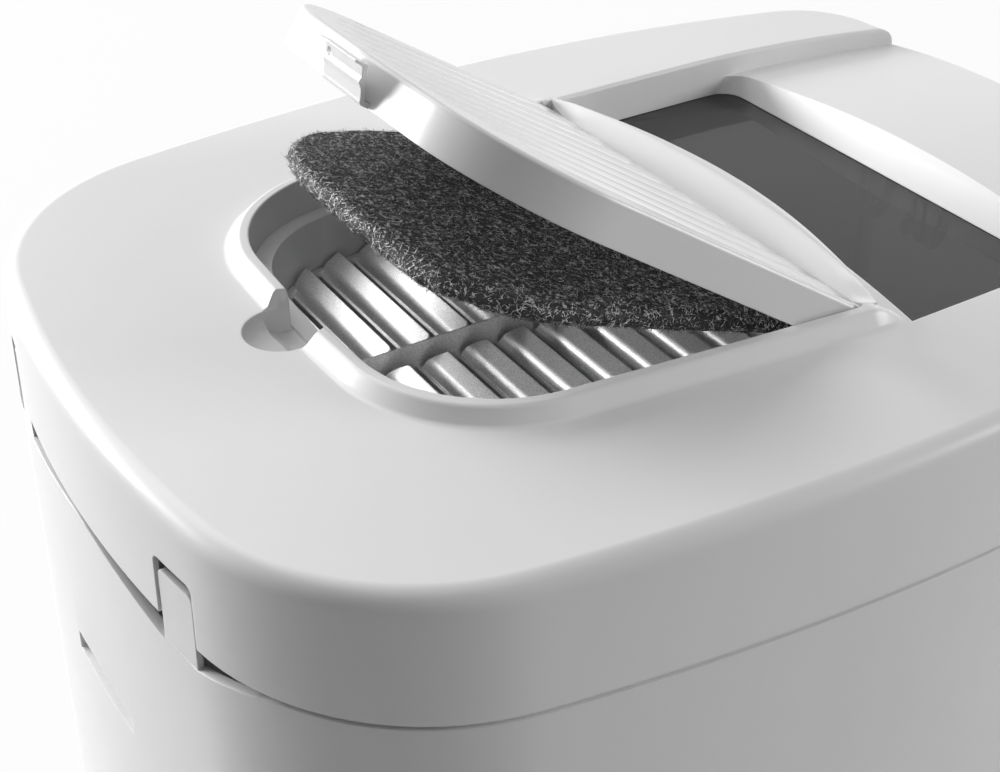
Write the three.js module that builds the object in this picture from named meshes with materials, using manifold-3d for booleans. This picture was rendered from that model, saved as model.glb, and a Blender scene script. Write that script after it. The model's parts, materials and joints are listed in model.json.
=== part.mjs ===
// Hooded cat litter box: deep tray, lift-off hood with a filter compartment, smoked roof window and flap.
// Millimetres. X runs across, +Y to the back, +Z up. The origin is on the floor under the middle.
import * as THREE from 'three';
import { mergeVertices } from 'three/addons/utils/BufferGeometryUtils.js';
import Module from 'manifold-3d';

const wasm = await Module();
wasm.setup();

// ---- Driving dimensions: the whole box ----
const width = 432;             // across the hood at its widest line
const length = 565;            // hood, front to back
const height = 410;            // floor to the crest of the filter rim
const wall = 2.4;              // moulded wall of the hood
const trayWall = 2.6;          // moulded wall of the tray
const seat = 0.3;              // gap where one piece rests on another

// ---- Plan of the box: side, corner and end arcs, tangent to each other ----
const widestFromBack = 302;    // from the back end to the widest line
const backSideRadius = 1200;
const backCornerRadius = 113;
const backEndRadius = 640;
const frontSideRadius = 780;
const frontCornerRadius = 54;
const frontEndRadius = 1200;
const sideSteps = 5;
const cornerSteps = 7;
const endSteps = 4;

// ---- Hood ----
const rimRise = 7.4;           // crest of the filter rim above the roof
const roofRound = 9;           // radius of the roof's edge
const skirtHeight = 64.6;      // roof down to the seam at the hinge line
const seamTilt = 1.5;          // degrees, the seam climbs to the back
const skirtDraft = 2;          // the skirt leans out by this much
const hingeFromBack = 313;     // from the back end to the lid's front edge
const deckDrop = 3.6;          // middle of the front deck below the roof
const deckSag = 9.5;           // the deck's crown over its half width
const railInset = 77;          // from the widest line in to the rail's inner wall
const railStraight = 105;      // the rail's inner wall is straight this far in front of the hinge line
const railTurn = 0.00106;      // then turns in by this much per square millimetre
const windowFront = 137;       // window's front edge in front of the hinge line
const windowDepth = 31;        // rim crest down to the window's lower edge
const windowCorner = 14;
const chamferRun = 8.5;        // the deck's rear edge slopes back by this much
const archMiddle = 32;         // roof's front edge before the hinge line, in the middle
const archEnds = 18;           // and at the rails

// ---- Filter compartment ----
const mouthFrontHalf = 128;    // half width at the hinge line
const mouthBackHalf = 107;     // half width where the sides reach the back edge
const mouthLength = 200.5;     // hinge line to the back edge at the corners
const mouthBow = 4.5;          // the back edge bows out by this much in the middle
const mouthCorner = 66;
const mouthBowRadius = 300;
const hingeCorner = 3;
const rimCrestWidth = 5.5;     // flat top of the rim
const rimBevelWidth = 5.5;     // its sloping outside
const ledgeDepth = 19;         // rim crest down to the ledge
const ledgeWidth = 9;
const pocketDepth = 51;        // rim crest down to the grille's lip
const lipWidth = 3;
const lipThickness = 3;
const barCrown = 5.6;          // the bar in front of the lid rises this far over its edges
const barGap = 0.5;            // hinge line to the bar's rear edge
const barLap = 3;              // the bar runs into the rim by this much at each end
const barEdge = 4.6;           // its edges lie this far under the rim crest
const bowlRadius = 17.5;       // finger bowl
const bowlFromHinge = 215;
const bowlDepth = 9;           // bowl floor under the roof
const notchDepth = 20.5;       // rim crest down to the floor of the gap behind the latch

// ---- Filter lid, latch, pad and grille ----
const openAngle = 33.5;        // degrees, the lid as it stands open
const lidClearance = 1.2;
const lidPlate = 2.6;
const lidTopDrop = 1;          // closed lid's top under the rim crest
const lidWall = 2.4;
const noseRadius = 5;          // rounded front edge, turning on the pins
const pinRadius = 2.4;
const pinLength = 4;
const pinClearance = 0.35;
const ribCount = 14;
const ribPitch = 17;
const ribHeight = 0.8;
const ribWidth = 3.2;
const latchHalf = 16.5;
const latchThickness = 1.8;
const latchFoot = 2.4;         // outer leg behind the lid's wall at the bottom
const latchReach = 9;          // and at the top
const latchLip = 3.5;          // finger lip beyond the outer leg
const latchBump = 1.2;
const latchHole = 1.5;
const padThickness = 9.5;
const padInset = 8;            // pad edge inside the mouth
const padFront = 16;           // pad's front edge behind the hinge line
const padTilt = 16.8;          // degrees, the pad half lifted
const slatPitch = 20.6;
const slatCount = 9;
const slatRun = 14.5;
const slatTop = 40;            // rim crest down to a slat's high edge
const slatRise = 8;
const slatThickness = 1.6;
const slatFirst = 15.9;        // first slat's high edge behind the hinge line
const slatRound = 9;
const spineHalf = 2.2;
const spineGap = 3;            // spine to the slats' inner ends
const spineTop = 36;           // rim crest down to the top of the spine
const grilleClearance = 0.4;
const grilleRim = 3.5;
const grilleBase = 2.4;

// ---- Window pane and its clips ----
const paneThickness = 2.5;
const paneRear = 12;           // pane's rear edge before the hinge line
const paneMargin = 5;          // pane reaches under the frame by this much
const clipSpacing = 23.4;      // clips either side of the middle
const clipHalf = 2.5;
const clipRing = 5;
const clipHole = 2.4;
const clipDrop = 55;           // rim crest down to the clip's ring
const clipSetback = 6;         // ring in front of the window's front edge
const ribInner = 11;           // ribs either side of each clip
const ribOuter = 31;
const ribPlate = 2;

// ---- Tray ----
const trayFlare = 9;           // wider at the floor by this much on each side
const trayLift = 3;            // underside above the floor
const trayBottomRound = 14;
const trayFloor = 3.4;
const seamGroove = 2;          // open groove between tray and hood
const seamDepth = 1.4;
const lipRise = 5;             // locating lip above the seam, inside the hood
const lipDrop = 12;            // and below it
const lipWall = 1.8;
const lipPlay = 0.4;
const tabInner = 80;
const tabOuter = 104;
const tabSink = 0.6;           // behind the hood's wall
const tabHeight = 23;          // above the seam
const tabClearance = 2;
const dipDepth = 12;           // the rim dips beside each tab
const dipMiddle = 3;
const dipEnd = 168;
const pocketHalf = 33.5;       // pull pocket in the back wall
const pocketLedge = 245;       // above the floor
const pocketTall = 14;
const pocketSink = 4.5;
const doorwayHalf = 118;
const sillHeight = 125;
const doorwayCorner = 38;
const doorwayBead = 4;

// ---- Flap and feet ----
const flapGap = 2;
const flapCorner = 46;         // rounder than the doorway, so that the corners swing clear
const flapThickness = 3;
const flapSetback = 16.5;      // pivot behind the front end
const pivotAboveSeam = 2;
const flapPinRadius = 2.5;
const flapPinHead = 4.2;
const flapPinHeadThickness = 1.6;
const flapPinDepth = 5;        // pin inside the flap's barrel
const flapBarrel = 5;          // radius
const flapSill = 2;            // gap over the sill
const lugThickness = 4;
const lugRadius = 5.5;
const footRadius = 15;
const footInset = 46;          // foot centres inside the walls
const footSocket = 2.2;        // foot inside its socket

// ---- Derived places ----
const backY = length / 2;
const frontY = -length / 2;
const widestY = backY - widestFromBack;
const hingeY = backY - hingeFromBack;
const roofZ = height - rimRise;
const seamZ = roofZ - skirtHeight;
const radians = THREE.MathUtils.degToRad;
const seamAt = (y) => seamZ + Math.tan(radians(seamTilt)) * (y - hingeY);
const seamBack = seamAt(backY);
const seamFront = seamAt(frontY);
const skirtLow = seamFront - 1;
const seamTop = seamBack + 30;
const deckZ = roofZ - deckDrop;
const railX = width / 2 - railInset;
const ledgeZ = height - ledgeDepth;
const lipZ = height - pocketDepth;
const recessZ = height - windowDepth;
const paneTopZ = recessZ - seat + 0.5;
const lidAxisY = hingeY + noseRadius + 1;
const lidAxisZ = height - lidTopDrop - noseRadius;
const slope = (mouthFrontHalf - mouthBackHalf) / mouthLength;

// ---- Materials ----
const plastic = (name, color, roughness = 0.35, metalness = 0) =>
  new THREE.MeshStandardMaterial({ name, color, roughness, metalness });
const white = plastic('white_shell', 0xe9e9e7);
const trayWhite = plastic('white_tray', 0xe2e2e0, 0.42);
const lidWhite = plastic('white_lid', 0xe6e6e5);
const silver = plastic('silver_grille', 0xb9bbbf, 0.35, 0.8);
const smoke = plastic('smoked_pane', 0x3c3d40, 0.12);
const clear = plastic('pale_clip', 0xd5d6d8, 0.2);
const carbon = plastic('charcoal_fibre', 0x1b1b1c, 0.95);
const rubber = plastic('foot_rubber', 0x6d6e70, 0.85);

// ---- Outlines, as lists of Vector2, counter-clockwise ----
const point = (x, y) => new THREE.Vector2(x, y);

// Points on an arc about a centre, without its last one.
function arc(cx, cy, radius, from, to, steps) {
  return Array.from({ length: steps }, (_, i) => {
    const angle = from + (to - from) * i / steps;
    return point(cx + radius * Math.cos(angle), cy + radius * Math.sin(angle));
  });
}

// A quarter of the plan, from the side at y = 0 to the end at x = 0.
function quarter(halfWidth, reach, sideRadius, cornerRadius, endRadius, inset) {
  const side = point(halfWidth - sideRadius, 0);
  const end = point(0, reach - endRadius);
  const toSide = sideRadius - cornerRadius;
  const toEnd = endRadius - cornerRadius;
  const between = end.clone().sub(side);
  const span = between.length();
  const along = (toSide ** 2 - toEnd ** 2 + span ** 2) / (2 * span);
  const across = Math.sqrt(toSide ** 2 - along ** 2);
  const unit = between.normalize();
  const corner = side.clone().addScaledVector(unit, along).addScaledVector(point(-unit.y, unit.x), across);
  const mirror = side.clone().addScaledVector(unit, along).addScaledVector(point(-unit.y, unit.x), -across);
  const centre = corner.x > 0 && corner.y > 0 ? corner : mirror;
  const sideAngle = Math.atan2(centre.y - side.y, centre.x - side.x);
  const endAngle = Math.atan2(centre.y - end.y, centre.x - end.x);
  return [
    ...arc(side.x, side.y, sideRadius - inset, 0, sideAngle, sideSteps),
    ...arc(centre.x, centre.y, cornerRadius - inset, sideAngle, endAngle, cornerSteps),
    ...arc(end.x, end.y, endRadius - inset, endAngle, Math.PI / 2, endSteps),
    point(0, reach - inset),
  ];
}

// The box's plan, moved in by inset.
function plan(inset) {
  const back = quarter(width / 2, widestFromBack, backSideRadius, backCornerRadius, backEndRadius, inset);
  const front = quarter(width / 2, length - widestFromBack, frontSideRadius, frontCornerRadius,
    frontEndRadius, inset);
  const turn = (list, sx, sy) => list.map((p) => point(p.x * sx, widestY + p.y * sy));
  return [
    ...turn(back, 1, 1).slice(0, -1),
    ...turn(back, -1, 1).reverse().slice(0, -1),
    ...turn(front, -1, -1).slice(0, -1),
    ...turn(front, 1, -1).reverse().slice(0, -1),
  ];
}

// A polygon with each corner rounded by its own radius: corners are [x, y, radius].
function rounded(corners, steps = 6) {
  return corners.flatMap(([x, y, radius], i) => {
    const before = corners[(i + corners.length - 1) % corners.length];
    const after = corners[(i + 1) % corners.length];
    const here = point(x, y);
    const back = point(before[0], before[1]).sub(here).normalize();
    const on = point(after[0], after[1]).sub(here).normalize();
    const half = Math.acos(THREE.MathUtils.clamp(back.dot(on), -1, 1)) / 2;
    if (radius <= 0) return [here];
    const centre = here.clone().addScaledVector(back.clone().add(on).normalize(), radius / Math.sin(half));
    const start = here.clone().addScaledVector(back, radius / Math.tan(half)).sub(centre);
    const stop = here.clone().addScaledVector(on, radius / Math.tan(half)).sub(centre);
    const turn = Math.atan2(start.cross(stop), start.dot(stop));
    const from = Math.atan2(start.y, start.x);
    return [...arc(centre.x, centre.y, radius, from, from + turn, steps),
      point(centre.x + stop.x, centre.y + stop.y)];
  });
}

// The filter compartment's mouth, moved in by inset.
function mouth(inset, frontInset = inset) {
  const sideX = (y) => mouthFrontHalf - slope * y - inset * Math.hypot(1, slope);
  const back = mouthLength - inset;
  const corner = Math.max(mouthCorner - inset, 1);
  const small = Math.max(hingeCorner - inset, 1);
  const half = [[sideX(frontInset), frontInset, small], [sideX(back), back, corner]];
  const corners = [...half, [0, back + mouthBow, mouthBowRadius], ...half.map(([x, y, r]) => [-x, y, r]).reverse()];
  return rounded(corners.map(([x, y, r]) => [x, hingeY + y, r]), 8);
}

// Half width between the rails' inner walls at a distance before the hinge line.
const railHalf = (before) => railX - railTurn * Math.max(before - railStraight, 0) ** 2;

// Plan of the lowered part between the rails, from the roof's front arch forward, grown by grow.
function sunken(grow) {
  const arch = [];
  const archSteps = 12;
  for (let i = 0; i <= archSteps; i += 1) {
    const x = (railX + grow) * (1 - 2 * i / archSteps);
    const before = archMiddle - (archMiddle - archEnds) * (x / railX) ** 2;
    arch.push(point(x, hingeY - before + grow));
  }
  const railSteps = 8;
  const beyond = hingeY - frontY + 40;
  const rail = [];
  for (let i = 0; i <= railSteps; i += 1) {
    const before = railStraight + (beyond - railStraight) * i / railSteps;
    rail.push(point(-railHalf(before) - grow, hingeY - before));
  }
  return [...arch, ...rail, ...rail.map((p) => point(-p.x, p.y)).reverse()];
}

// Plan of the window, its front edge at a distance before the hinge line, grown by grow.
function windowPlan(front, grow) {
  const x = railX + grow;
  const y = hingeY - front - grow;
  const corner = windowCorner + grow;
  return rounded([[x, hingeY - archEnds / 2, 0], [-x, hingeY - archEnds / 2, 0], [-x, y, corner], [x, y, corner]]);
}

// ---- Solids ----
// A THREE geometry as a manifold solid.
function solid(geometry) {
  const bare = geometry.index ? geometry.toNonIndexed() : geometry;
  bare.deleteAttribute('normal');
  bare.deleteAttribute('uv');
  const merged = mergeVertices(bare, 1e-4);
  return new wasm.Manifold(new wasm.Mesh({
    numProp: 3,
    vertProperties: new Float32Array(merged.attributes.position.array),
    triVerts: new Uint32Array(merged.index.array),
  }));
}

// A skin over rings of equal length, each { loop, z }, closed at both ends.
function loft(rings) {
  const count = rings[0].loop.length;
  const positions = rings.flatMap(({ loop, z }) => loop.flatMap((p) => [p.x, p.y, z]));
  const index = [];
  for (let r = 0; r < rings.length - 1; r += 1) {
    for (let i = 0; i < count; i += 1) {
      const a = r * count + i;
      const b = r * count + (i + 1) % count;
      index.push(a, b, b + count, a, b + count, a + count);
    }
  }
  const top = (rings.length - 1) * count;
  THREE.ShapeUtils.triangulateShape(rings[0].loop, []).forEach(([a, b, c]) => index.push(c, b, a));
  THREE.ShapeUtils.triangulateShape(rings[rings.length - 1].loop, [])
    .forEach(([a, b, c]) => index.push(top + a, top + b, top + c));
  const geometry = new THREE.BufferGeometry();
  geometry.setAttribute('position', new THREE.Float32BufferAttribute(positions, 3));
  geometry.setIndex(index);
  return solid(geometry);
}

const prism = (loop, low, high) => loft([{ loop, z: low }, { loop, z: high }]);

// A box between two corners.
function block(x0, x1, y0, y1, z0, z1) {
  const geometry = new THREE.BoxGeometry(x1 - x0, y1 - y0, z1 - z0);
  geometry.translate((x0 + x1) / 2, (y0 + y1) / 2, (z0 + z1) / 2);
  return solid(geometry);
}

// A cylinder along X between two ends.
function rod(x0, x1, y, z, radius, segments = 20) {
  const geometry = new THREE.CylinderGeometry(radius, radius, x1 - x0, segments);
  geometry.rotateZ(Math.PI / 2);
  geometry.translate((x0 + x1) / 2, y, z);
  return solid(geometry);
}

// A cylinder standing up.
function post(x, y, z0, z1, radius, segments = 24) {
  const geometry = new THREE.CylinderGeometry(radius, radius, z1 - z0, segments);
  geometry.rotateX(Math.PI / 2);
  geometry.translate(x, y, (z0 + z1) / 2);
  return solid(geometry);
}

// A profile in the YZ plane, drawn along X: corners are [y, z].
function alongX(corners, x0, x1) {
  const shape = new THREE.Shape(corners.map(([y, z]) => point(y, z)));
  const geometry = new THREE.ExtrudeGeometry(shape, { depth: x1 - x0, bevelEnabled: false });
  geometry.applyMatrix4(new THREE.Matrix4().set(0, 0, 1, x0, 1, 0, 0, 0, 0, 1, 0, 0, 0, 0, 0, 1));
  return solid(geometry);
}

// A shape in the XZ plane, drawn along Y.
function alongY(shape, y0, y1, curveSegments = 8) {
  const geometry = new THREE.ExtrudeGeometry(shape, { depth: y1 - y0, bevelEnabled: false, curveSegments });
  geometry.applyMatrix4(new THREE.Matrix4().set(1, 0, 0, 0, 0, 0, -1, y1, 0, 1, 0, 0, 0, 0, 0, 1));
  return solid(geometry);
}

// One solid from a right-hand (1) and a left-hand (-1) one.
const bothSides = (make) => make(1).add(make(-1));

// A box between two corners, on the side given.
const sideBlock = (side, x0, x1, ...others) => block(Math.min(side * x0, side * x1),
  Math.max(side * x0, side * x1), ...others);

// A rod along X between two distances from the middle, on the side given.
const sideRod = (side, x0, x1, ...others) => rod(Math.min(side * x0, side * x1),
  Math.max(side * x0, side * x1), ...others);

// A named mesh from a manifold solid.
function mesh(name, body, material) {
  const { vertProperties, triVerts } = body.getMesh();
  const geometry = new THREE.BufferGeometry();
  geometry.setAttribute('position', new THREE.BufferAttribute(new Float32Array(vertProperties), 3));
  geometry.setIndex(new THREE.BufferAttribute(new Uint32Array(triVerts), 1));
  geometry.computeVertexNormals();
  const made = new THREE.Mesh(geometry, material);
  made.name = name;
  return made;
}

// ---- Hood ----
// Everything above the seam, or under it, with the seam moved up by offset.
const seamLine = (offset) => [[backY + width, seamAt(backY + width) + offset],
  [frontY - width, seamAt(frontY - width) + offset]];
const above = (offset) => alongX([
  [frontY - width, 2 * height], [backY + width, 2 * height], ...seamLine(offset)], -width, width);
const under = (offset) => alongX([
  [frontY - width, -height], [backY + width, -height], ...seamLine(offset)], -width, width);

// Rings from under the seam up over the rounded edge to a flat top.
function capRings(inset, top, low) {
  const steps = 4;
  const rings = [{ loop: plan(inset - skirtDraft), z: low }];
  const radius = roofRound - inset / 2;
  for (let i = 0; i <= steps; i += 1) {
    const angle = Math.PI / 2 * i / steps;
    rings.push({
      loop: plan(inset + radius * (1 - Math.cos(angle))),
      z: top - radius * (1 - Math.sin(angle)),
    });
  }
  return rings;
}

// The crowned deck as a slab, its top lowered by drop.
function crown(drop) {
  const half = width / 2;
  const curve = new THREE.Shape();
  const steps = 16;
  curve.moveTo(-half, skirtLow - 20);
  curve.lineTo(half, skirtLow - 20);
  for (let i = 0; i <= steps; i += 1) {
    const x = half * (1 - 2 * i / steps);
    curve.lineTo(x, deckZ - drop - deckSag * (x / railX) ** 2);
  }
  return alongY(curve, frontY - 20, hingeY);
}

// The roof's outer form, or with inset its inner one: high at the back and the rails, low on the deck.
function roofForm(inset) {
  const low = skirtLow - (inset > 0 ? 1 : 0);
  const floorZ = recessZ + (inset > 0 ? 0.5 : 0);
  const top = height + 20;
  const high = loft(capRings(inset, roofZ - inset, low)).subtract(prism(sunken(inset), floorZ, top));
  const frustum = loft([
    { loop: windowPlan(windowFront, inset), z: floorZ - 5 },
    { loop: windowPlan(windowFront, inset), z: floorZ },
    { loop: windowPlan(windowFront + chamferRun, inset), z: deckZ },
    { loop: windowPlan(windowFront + chamferRun, inset), z: top },
  ]);
  const deck = loft(capRings(inset, deckZ - inset, low))
    .intersect(crown(inset))
    .intersect(prism(sunken(inset + 0.4), floorZ - 3, top))
    .subtract(frustum);
  return high.add(deck);
}

// The raised rim round the compartment: sloping outside, flat crest.
function rim() {
  return loft([
    { loop: mouth(-rimCrestWidth - rimBevelWidth - 1), z: roofZ - wall },
    { loop: mouth(-rimCrestWidth - rimBevelWidth), z: roofZ },
    { loop: mouth(-rimCrestWidth - 0.6), z: height - 0.8 },
    { loop: mouth(-rimCrestWidth + 1), z: height },
  ]).subtract(block(-mouthFrontHalf, mouthFrontHalf, frontY, hingeY - barGap, roofZ, height + 1));
}

// The lens-shaped bar between the lid's front edge and the roof's front arch.
function bar() {
  const half = mouthFrontHalf + barLap;
  const steps = 14;
  const rear = [];
  const front = [];
  for (let i = 0; i <= steps; i += 1) {
    const x = half * (1 - 2 * i / steps);
    const before = archMiddle - (archMiddle - archEnds) * (x / railX) ** 2;
    const edge = archMiddle - (archMiddle - archEnds) * (half / railX) ** 2;
    rear.push(point(x, hingeY - barGap));
    front.push(point(-x, hingeY - 2 * barGap - (before - edge) * (archMiddle - 1) / (archMiddle - edge)));
  }
  const loop = [...rear, ...front];
  const squeeze = (keep) => loop.map((p, i) => {
    const other = i <= steps ? front[steps - i] : rear[2 * steps + 1 - i];
    const middle = (p.y + other.y) / 2;
    return point(p.x * (0.97 + 0.03 * keep), middle + (p.y - middle) * keep);
  });
  const rings = [{ loop, z: roofZ - wall }];
  for (const angle of [0, 20, 40, 58, 74]) {
    rings.push({
      loop: squeeze(Math.cos(radians(angle))),
      z: height - barEdge + barCrown * Math.sin(radians(angle)),
    });
  }
  return loft(rings);
}

// The compartment's walls, ledge and lip, as one stepped tub, and the room inside it.
function tub() {
  return prism(mouth(-wall), ledgeZ - wall, roofZ)
    .add(prism(mouth(ledgeWidth - wall), lipZ - lipThickness, ledgeZ));
}

function tubRoom() {
  return prism(mouth(0), ledgeZ, height + 10)
    .add(prism(mouth(ledgeWidth), lipZ, ledgeZ + 1))
    .add(prism(mouth(ledgeWidth + lipWidth), lipZ - lipThickness - 5, lipZ + 1));
}

// Round finger bowl behind the mouth, with the gap that it opens in the rim.
function bowl() {
  const profile = [];
  const steps = 6;
  const floorZ = roofZ - bowlDepth;
  for (let i = 0; i <= steps; i += 1) {
    const angle = Math.PI / 2 * i / steps;
    profile.push(point(bowlRadius * Math.sin(angle), floorZ + bowlDepth * 0.8 * (1 - Math.cos(angle))));
  }
  profile.push(point(bowlRadius, height + 5), point(0, height + 5));
  const geometry = new THREE.LatheGeometry(profile, 28);
  geometry.rotateX(Math.PI / 2);
  geometry.translate(0, hingeY + bowlFromHinge, 0);
  const rearY = hingeY + bowlFromHinge;
  const mouthY = hingeY + mouthLength + mouthBow - 1.5;
  const ramp = alongX([
    [mouthY, height - notchDepth], [rearY - 4, height - notchDepth], [rearY + 2, floorZ + 1],
    [rearY + 2, height + 5], [mouthY, height + 5],
  ], -bowlRadius, bowlRadius);
  return solid(geometry).add(ramp);
}

// A thickened seat under the bowl, so that its floor has a wall.
function bowlSeat() {
  const y = hingeY + bowlFromHinge;
  const low = height - notchDepth - wall;
  return post(0, y, low, roofZ, bowlRadius + wall, 28)
    .add(block(-bowlRadius - wall, bowlRadius + wall, hingeY + mouthLength, y, low, roofZ));
}

// Notches in the skirt for the tray's tabs.
function notches() {
  const grown = tabClearance;
  const top = seamBack + tabHeight + 3 * grown;
  const corners = (side) => [
    [side * (tabInner - grown), skirtLow, 0], [side * (tabOuter + grown), skirtLow, 0],
    [side * (tabOuter + grown), top, 4], [side * (tabInner - grown), top, 4],
  ];
  return bothSides((side) => alongY(new THREE.Shape(rounded(corners(side), 4)), backY - 60, backY + 10));
}

// Rib pairs under the deck, each pair with the axle that one window clip hangs on.
function clipRibs() {
  const y = hingeY - windowFront - clipSetback;
  const low = height - clipDrop - clipRing;
  const top = deckZ - wall - 0.5;
  const rib = (x) => alongX([
    [y - 14, top], [y - 9, low + 6], [y - 4, low], [y + 3, low], [y + 4, low + 9], [y - 3, low + 13],
    [y - 3, top],
  ], x - ribPlate / 2, x + ribPlate / 2);
  return bothSides((side) => rib(side * ribInner)
    .add(rib(side * ribOuter))
    .add(sideRod(side, ribInner, ribOuter, y, height - clipDrop, clipHole - seat, 12)));
}

// Lugs behind the front skirt that carry the flap's pins.
const pivotY = frontY + flapSetback;
const pivotZ = seamFront + pivotAboveSeam;
const lugX = doorwayHalf - 0.5;

function flapLugs() {
  const ends = [lugX, lugX + lugThickness];
  return bothSides((side) => sideBlock(side, ...ends, pivotY - lugRadius, pivotY + lugRadius, pivotZ, height)
    .intersect(roofForm(0))
    .add(sideRod(side, ...ends, pivotY, pivotZ, lugRadius))
    .subtract(sideRod(side, lugX - 1, lugX + lugThickness + 1, pivotY, pivotZ, flapPinRadius + seat)));
}

function hoodShell() {
  const sockets = bothSides((side) => sideRod(
    side, mouthFrontHalf - 6, mouthFrontHalf + pinLength - 1, lidAxisY, lidAxisZ, pinRadius + pinClearance,
  ));
  return roofForm(0)
    .intersect(above(0))
    .add(rim())
    .subtract(prism(sunken(0), recessZ, height + 20).subtract(roofForm(0)))
    .subtract(roofForm(wall))
    .add(tub().subtract(prism(sunken(-wall), 0, height + 20)))
    .add(bar())
    .add(bowlSeat())
    .subtract(tubRoom())
    .subtract(bowl())
    .subtract(notches())
    .subtract(sockets)
    .add(clipRibs())
    .add(flapLugs());
}


// ---- Window pane and clips ----
function windowPane() {
  const x = railX + paneMargin;
  const front = hingeY - windowFront - paneMargin;
  const rear = hingeY - paneRear;
  const corner = windowCorner + paneMargin;
  const loop = rounded([[x, rear, 0], [-x, rear, 0], [-x, front, corner], [x, front, corner]]);
  return prism(loop, paneTopZ - paneThickness, paneTopZ);
}

// A ring on a short arm under the pane's front edge.
function windowClip(side) {
  const x = side * clipSpacing;
  const y = hingeY - windowFront - clipSetback;
  const ringZ = height - clipDrop;
  const top = paneTopZ - paneThickness - seat;
  const arm = block(x - clipHalf, x + clipHalf, y + 1, y + clipRing, ringZ, top);
  return arm
    .add(rod(x - clipHalf, x + clipHalf, y, ringZ, clipRing))
    .subtract(rod(x - clipHalf - 1, x + clipHalf + 1, y, ringZ, clipHole));
}

// ---- Filter grille ----
function filterGrille() {
  const low = lipZ + seat;
  const outside = ledgeWidth + grilleClearance;
  const frame = prism(mouth(outside), low, low + grilleRim + 1.5)
    .subtract(prism(mouth(outside + grilleRim), low - 1, low + grilleRim + 3));
  const inner = prism(mouth(outside + grilleRim / 2), low, height);
  const frontEdge = hingeY + outside;
  const backEdge = hingeY + mouthLength + mouthBow - outside;
  const spine = alongY(new THREE.Shape([
    point(-spineHalf, low), point(spineHalf, low), point(spineHalf / 3, height - spineTop),
    point(-spineHalf / 3, height - spineTop),
  ]), frontEdge, backEdge);
  let body = frame.add(spine.intersect(inner));
  for (let i = 0; i < slatCount; i += 1) {
    const y = hingeY + slatFirst + slatPitch * i;
    const high = height - slatTop;
    const blade = alongX([
      [y, high], [y, high - slatThickness], [y + slatRun - 2, high - slatRise],
      [y + slatRun, high - slatRise],
    ], -mouthFrontHalf, mouthFrontHalf);
    const inside = spineHalf + spineGap;
    const corners = [
      [inside, y - 1, slatRound], [mouthFrontHalf, y - 1, 0],
      [mouthFrontHalf, y + slatRun + 1, 0], [inside, y + slatRun + 1, 0],
    ];
    const right = rounded(corners);
    const left = right.map((p) => point(-p.x, p.y)).reverse();
    const ends = prism(right, low, height).add(prism(left, low, height));
    const base = block(-mouthFrontHalf, mouthFrontHalf, y + slatRun - 3, y + slatRun, low, low + grilleBase);
    body = body.add(blade.intersect(ends).add(base).intersect(inner));
  }
  return body;
}

// ---- Filter lid, drawn shut ----
function filterLid() {
  const top = height - lidTopDrop;
  const low = ledgeZ + seat;
  const front = noseRadius + 1;
  const noseHalf = mouthFrontHalf - slope * front - lidClearance - 0.3;
  const walls = prism(mouth(lidClearance, front), low, top)
    .subtract(prism(mouth(lidClearance + lidWall, front - 2), low - 1, top - lidPlate));
  const crest = (i) => ribPitch * (i - (ribCount - 1) / 2);
  let body = walls
    .add(rod(-noseHalf, noseHalf, lidAxisY, lidAxisZ, noseRadius, 24))
    .add(rod(-noseHalf - pinLength, noseHalf + pinLength, lidAxisY, lidAxisZ, pinRadius, 16));
  for (let i = 0; i < ribCount; i += 1) {
    const x = crest(i);
    const rib = alongY(new THREE.Shape([
      point(x - ribWidth / 2, top - 0.5), point(x + ribWidth / 2, top - 0.5), point(x + ribWidth / 2, top),
      point(x + ribWidth / 6, top + ribHeight), point(x - ribWidth / 6, top + ribHeight),
      point(x - ribWidth / 2, top),
    ]), lidAxisY, backY);
    body = body.add(rib.intersect(prism(mouth(lidClearance + 4, front), top - 1, top + 2)));
  }
  return body.subtract(block(
    -latchHalf - 2 * seat, latchHalf + 2 * seat, latchY - lidWall - 1, backY,
    low - 1, low + latchThickness + seat,
  ));
}

// Outer face of the lid's back wall, where the latch stands.
const latchY = hingeY + mouthLength + mouthBow - lidClearance - 0.6;

// A spring tongue: it turns up under the lid's wall and leans back to a finger lip.
function lidLatch() {
  const low = ledgeZ + seat;
  const top = height - 2.5;
  const t = latchThickness;
  const root = latchY - lidWall;
  const foot = latchY + latchFoot;
  const head = latchY + latchReach;
  const lean = (head - foot) / (top - low - t);
  const bumpZ = low + 0.52 * (top - low);
  const at = (z) => foot + lean * (z - low - t);
  const tongue = alongX([
    [root, low + t / 3], [root + 0.6, low], [foot + t * 0.8, low], [foot + t, low + t],
    [at(bumpZ - 1.5) + t, bumpZ - 1.5], [at(bumpZ) + t + latchBump, bumpZ], [at(bumpZ + 1.5) + t, bumpZ + 1.5],
    [at(top - 1.6) + t, top - 1.6], [head + t + latchLip, top - 1.2], [head + t + latchLip, top],
    [head - 0.4, top], [foot, low + t], [root, low + t],
  ], -latchHalf, latchHalf);
  const holeX = latchHalf * 0.75;
  const hole = alongY(new THREE.Shape(arc(holeX, bumpZ + 3.4, latchHole, 0, 2 * Math.PI, 12)), latchY, backY);
  return tongue.subtract(hole);
}

// ---- Filter pad, drawn flat ----
function filterPad() {
  return prism(mouth(padInset, padFront), ledgeZ + seat, ledgeZ + seat + padThickness);
}

// ---- Tray ----
// How far the skin lies inside the plan at a height: the hood's draft, then the tray's flare.
function skinInset(z) {
  const skirtTop = roofZ - roofRound;
  if (z >= skirtLow) return -skirtDraft * (skirtTop - z) / (skirtTop - skirtLow);
  return -skirtDraft - trayFlare * (skirtLow - z) / skirtLow;
}

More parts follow.
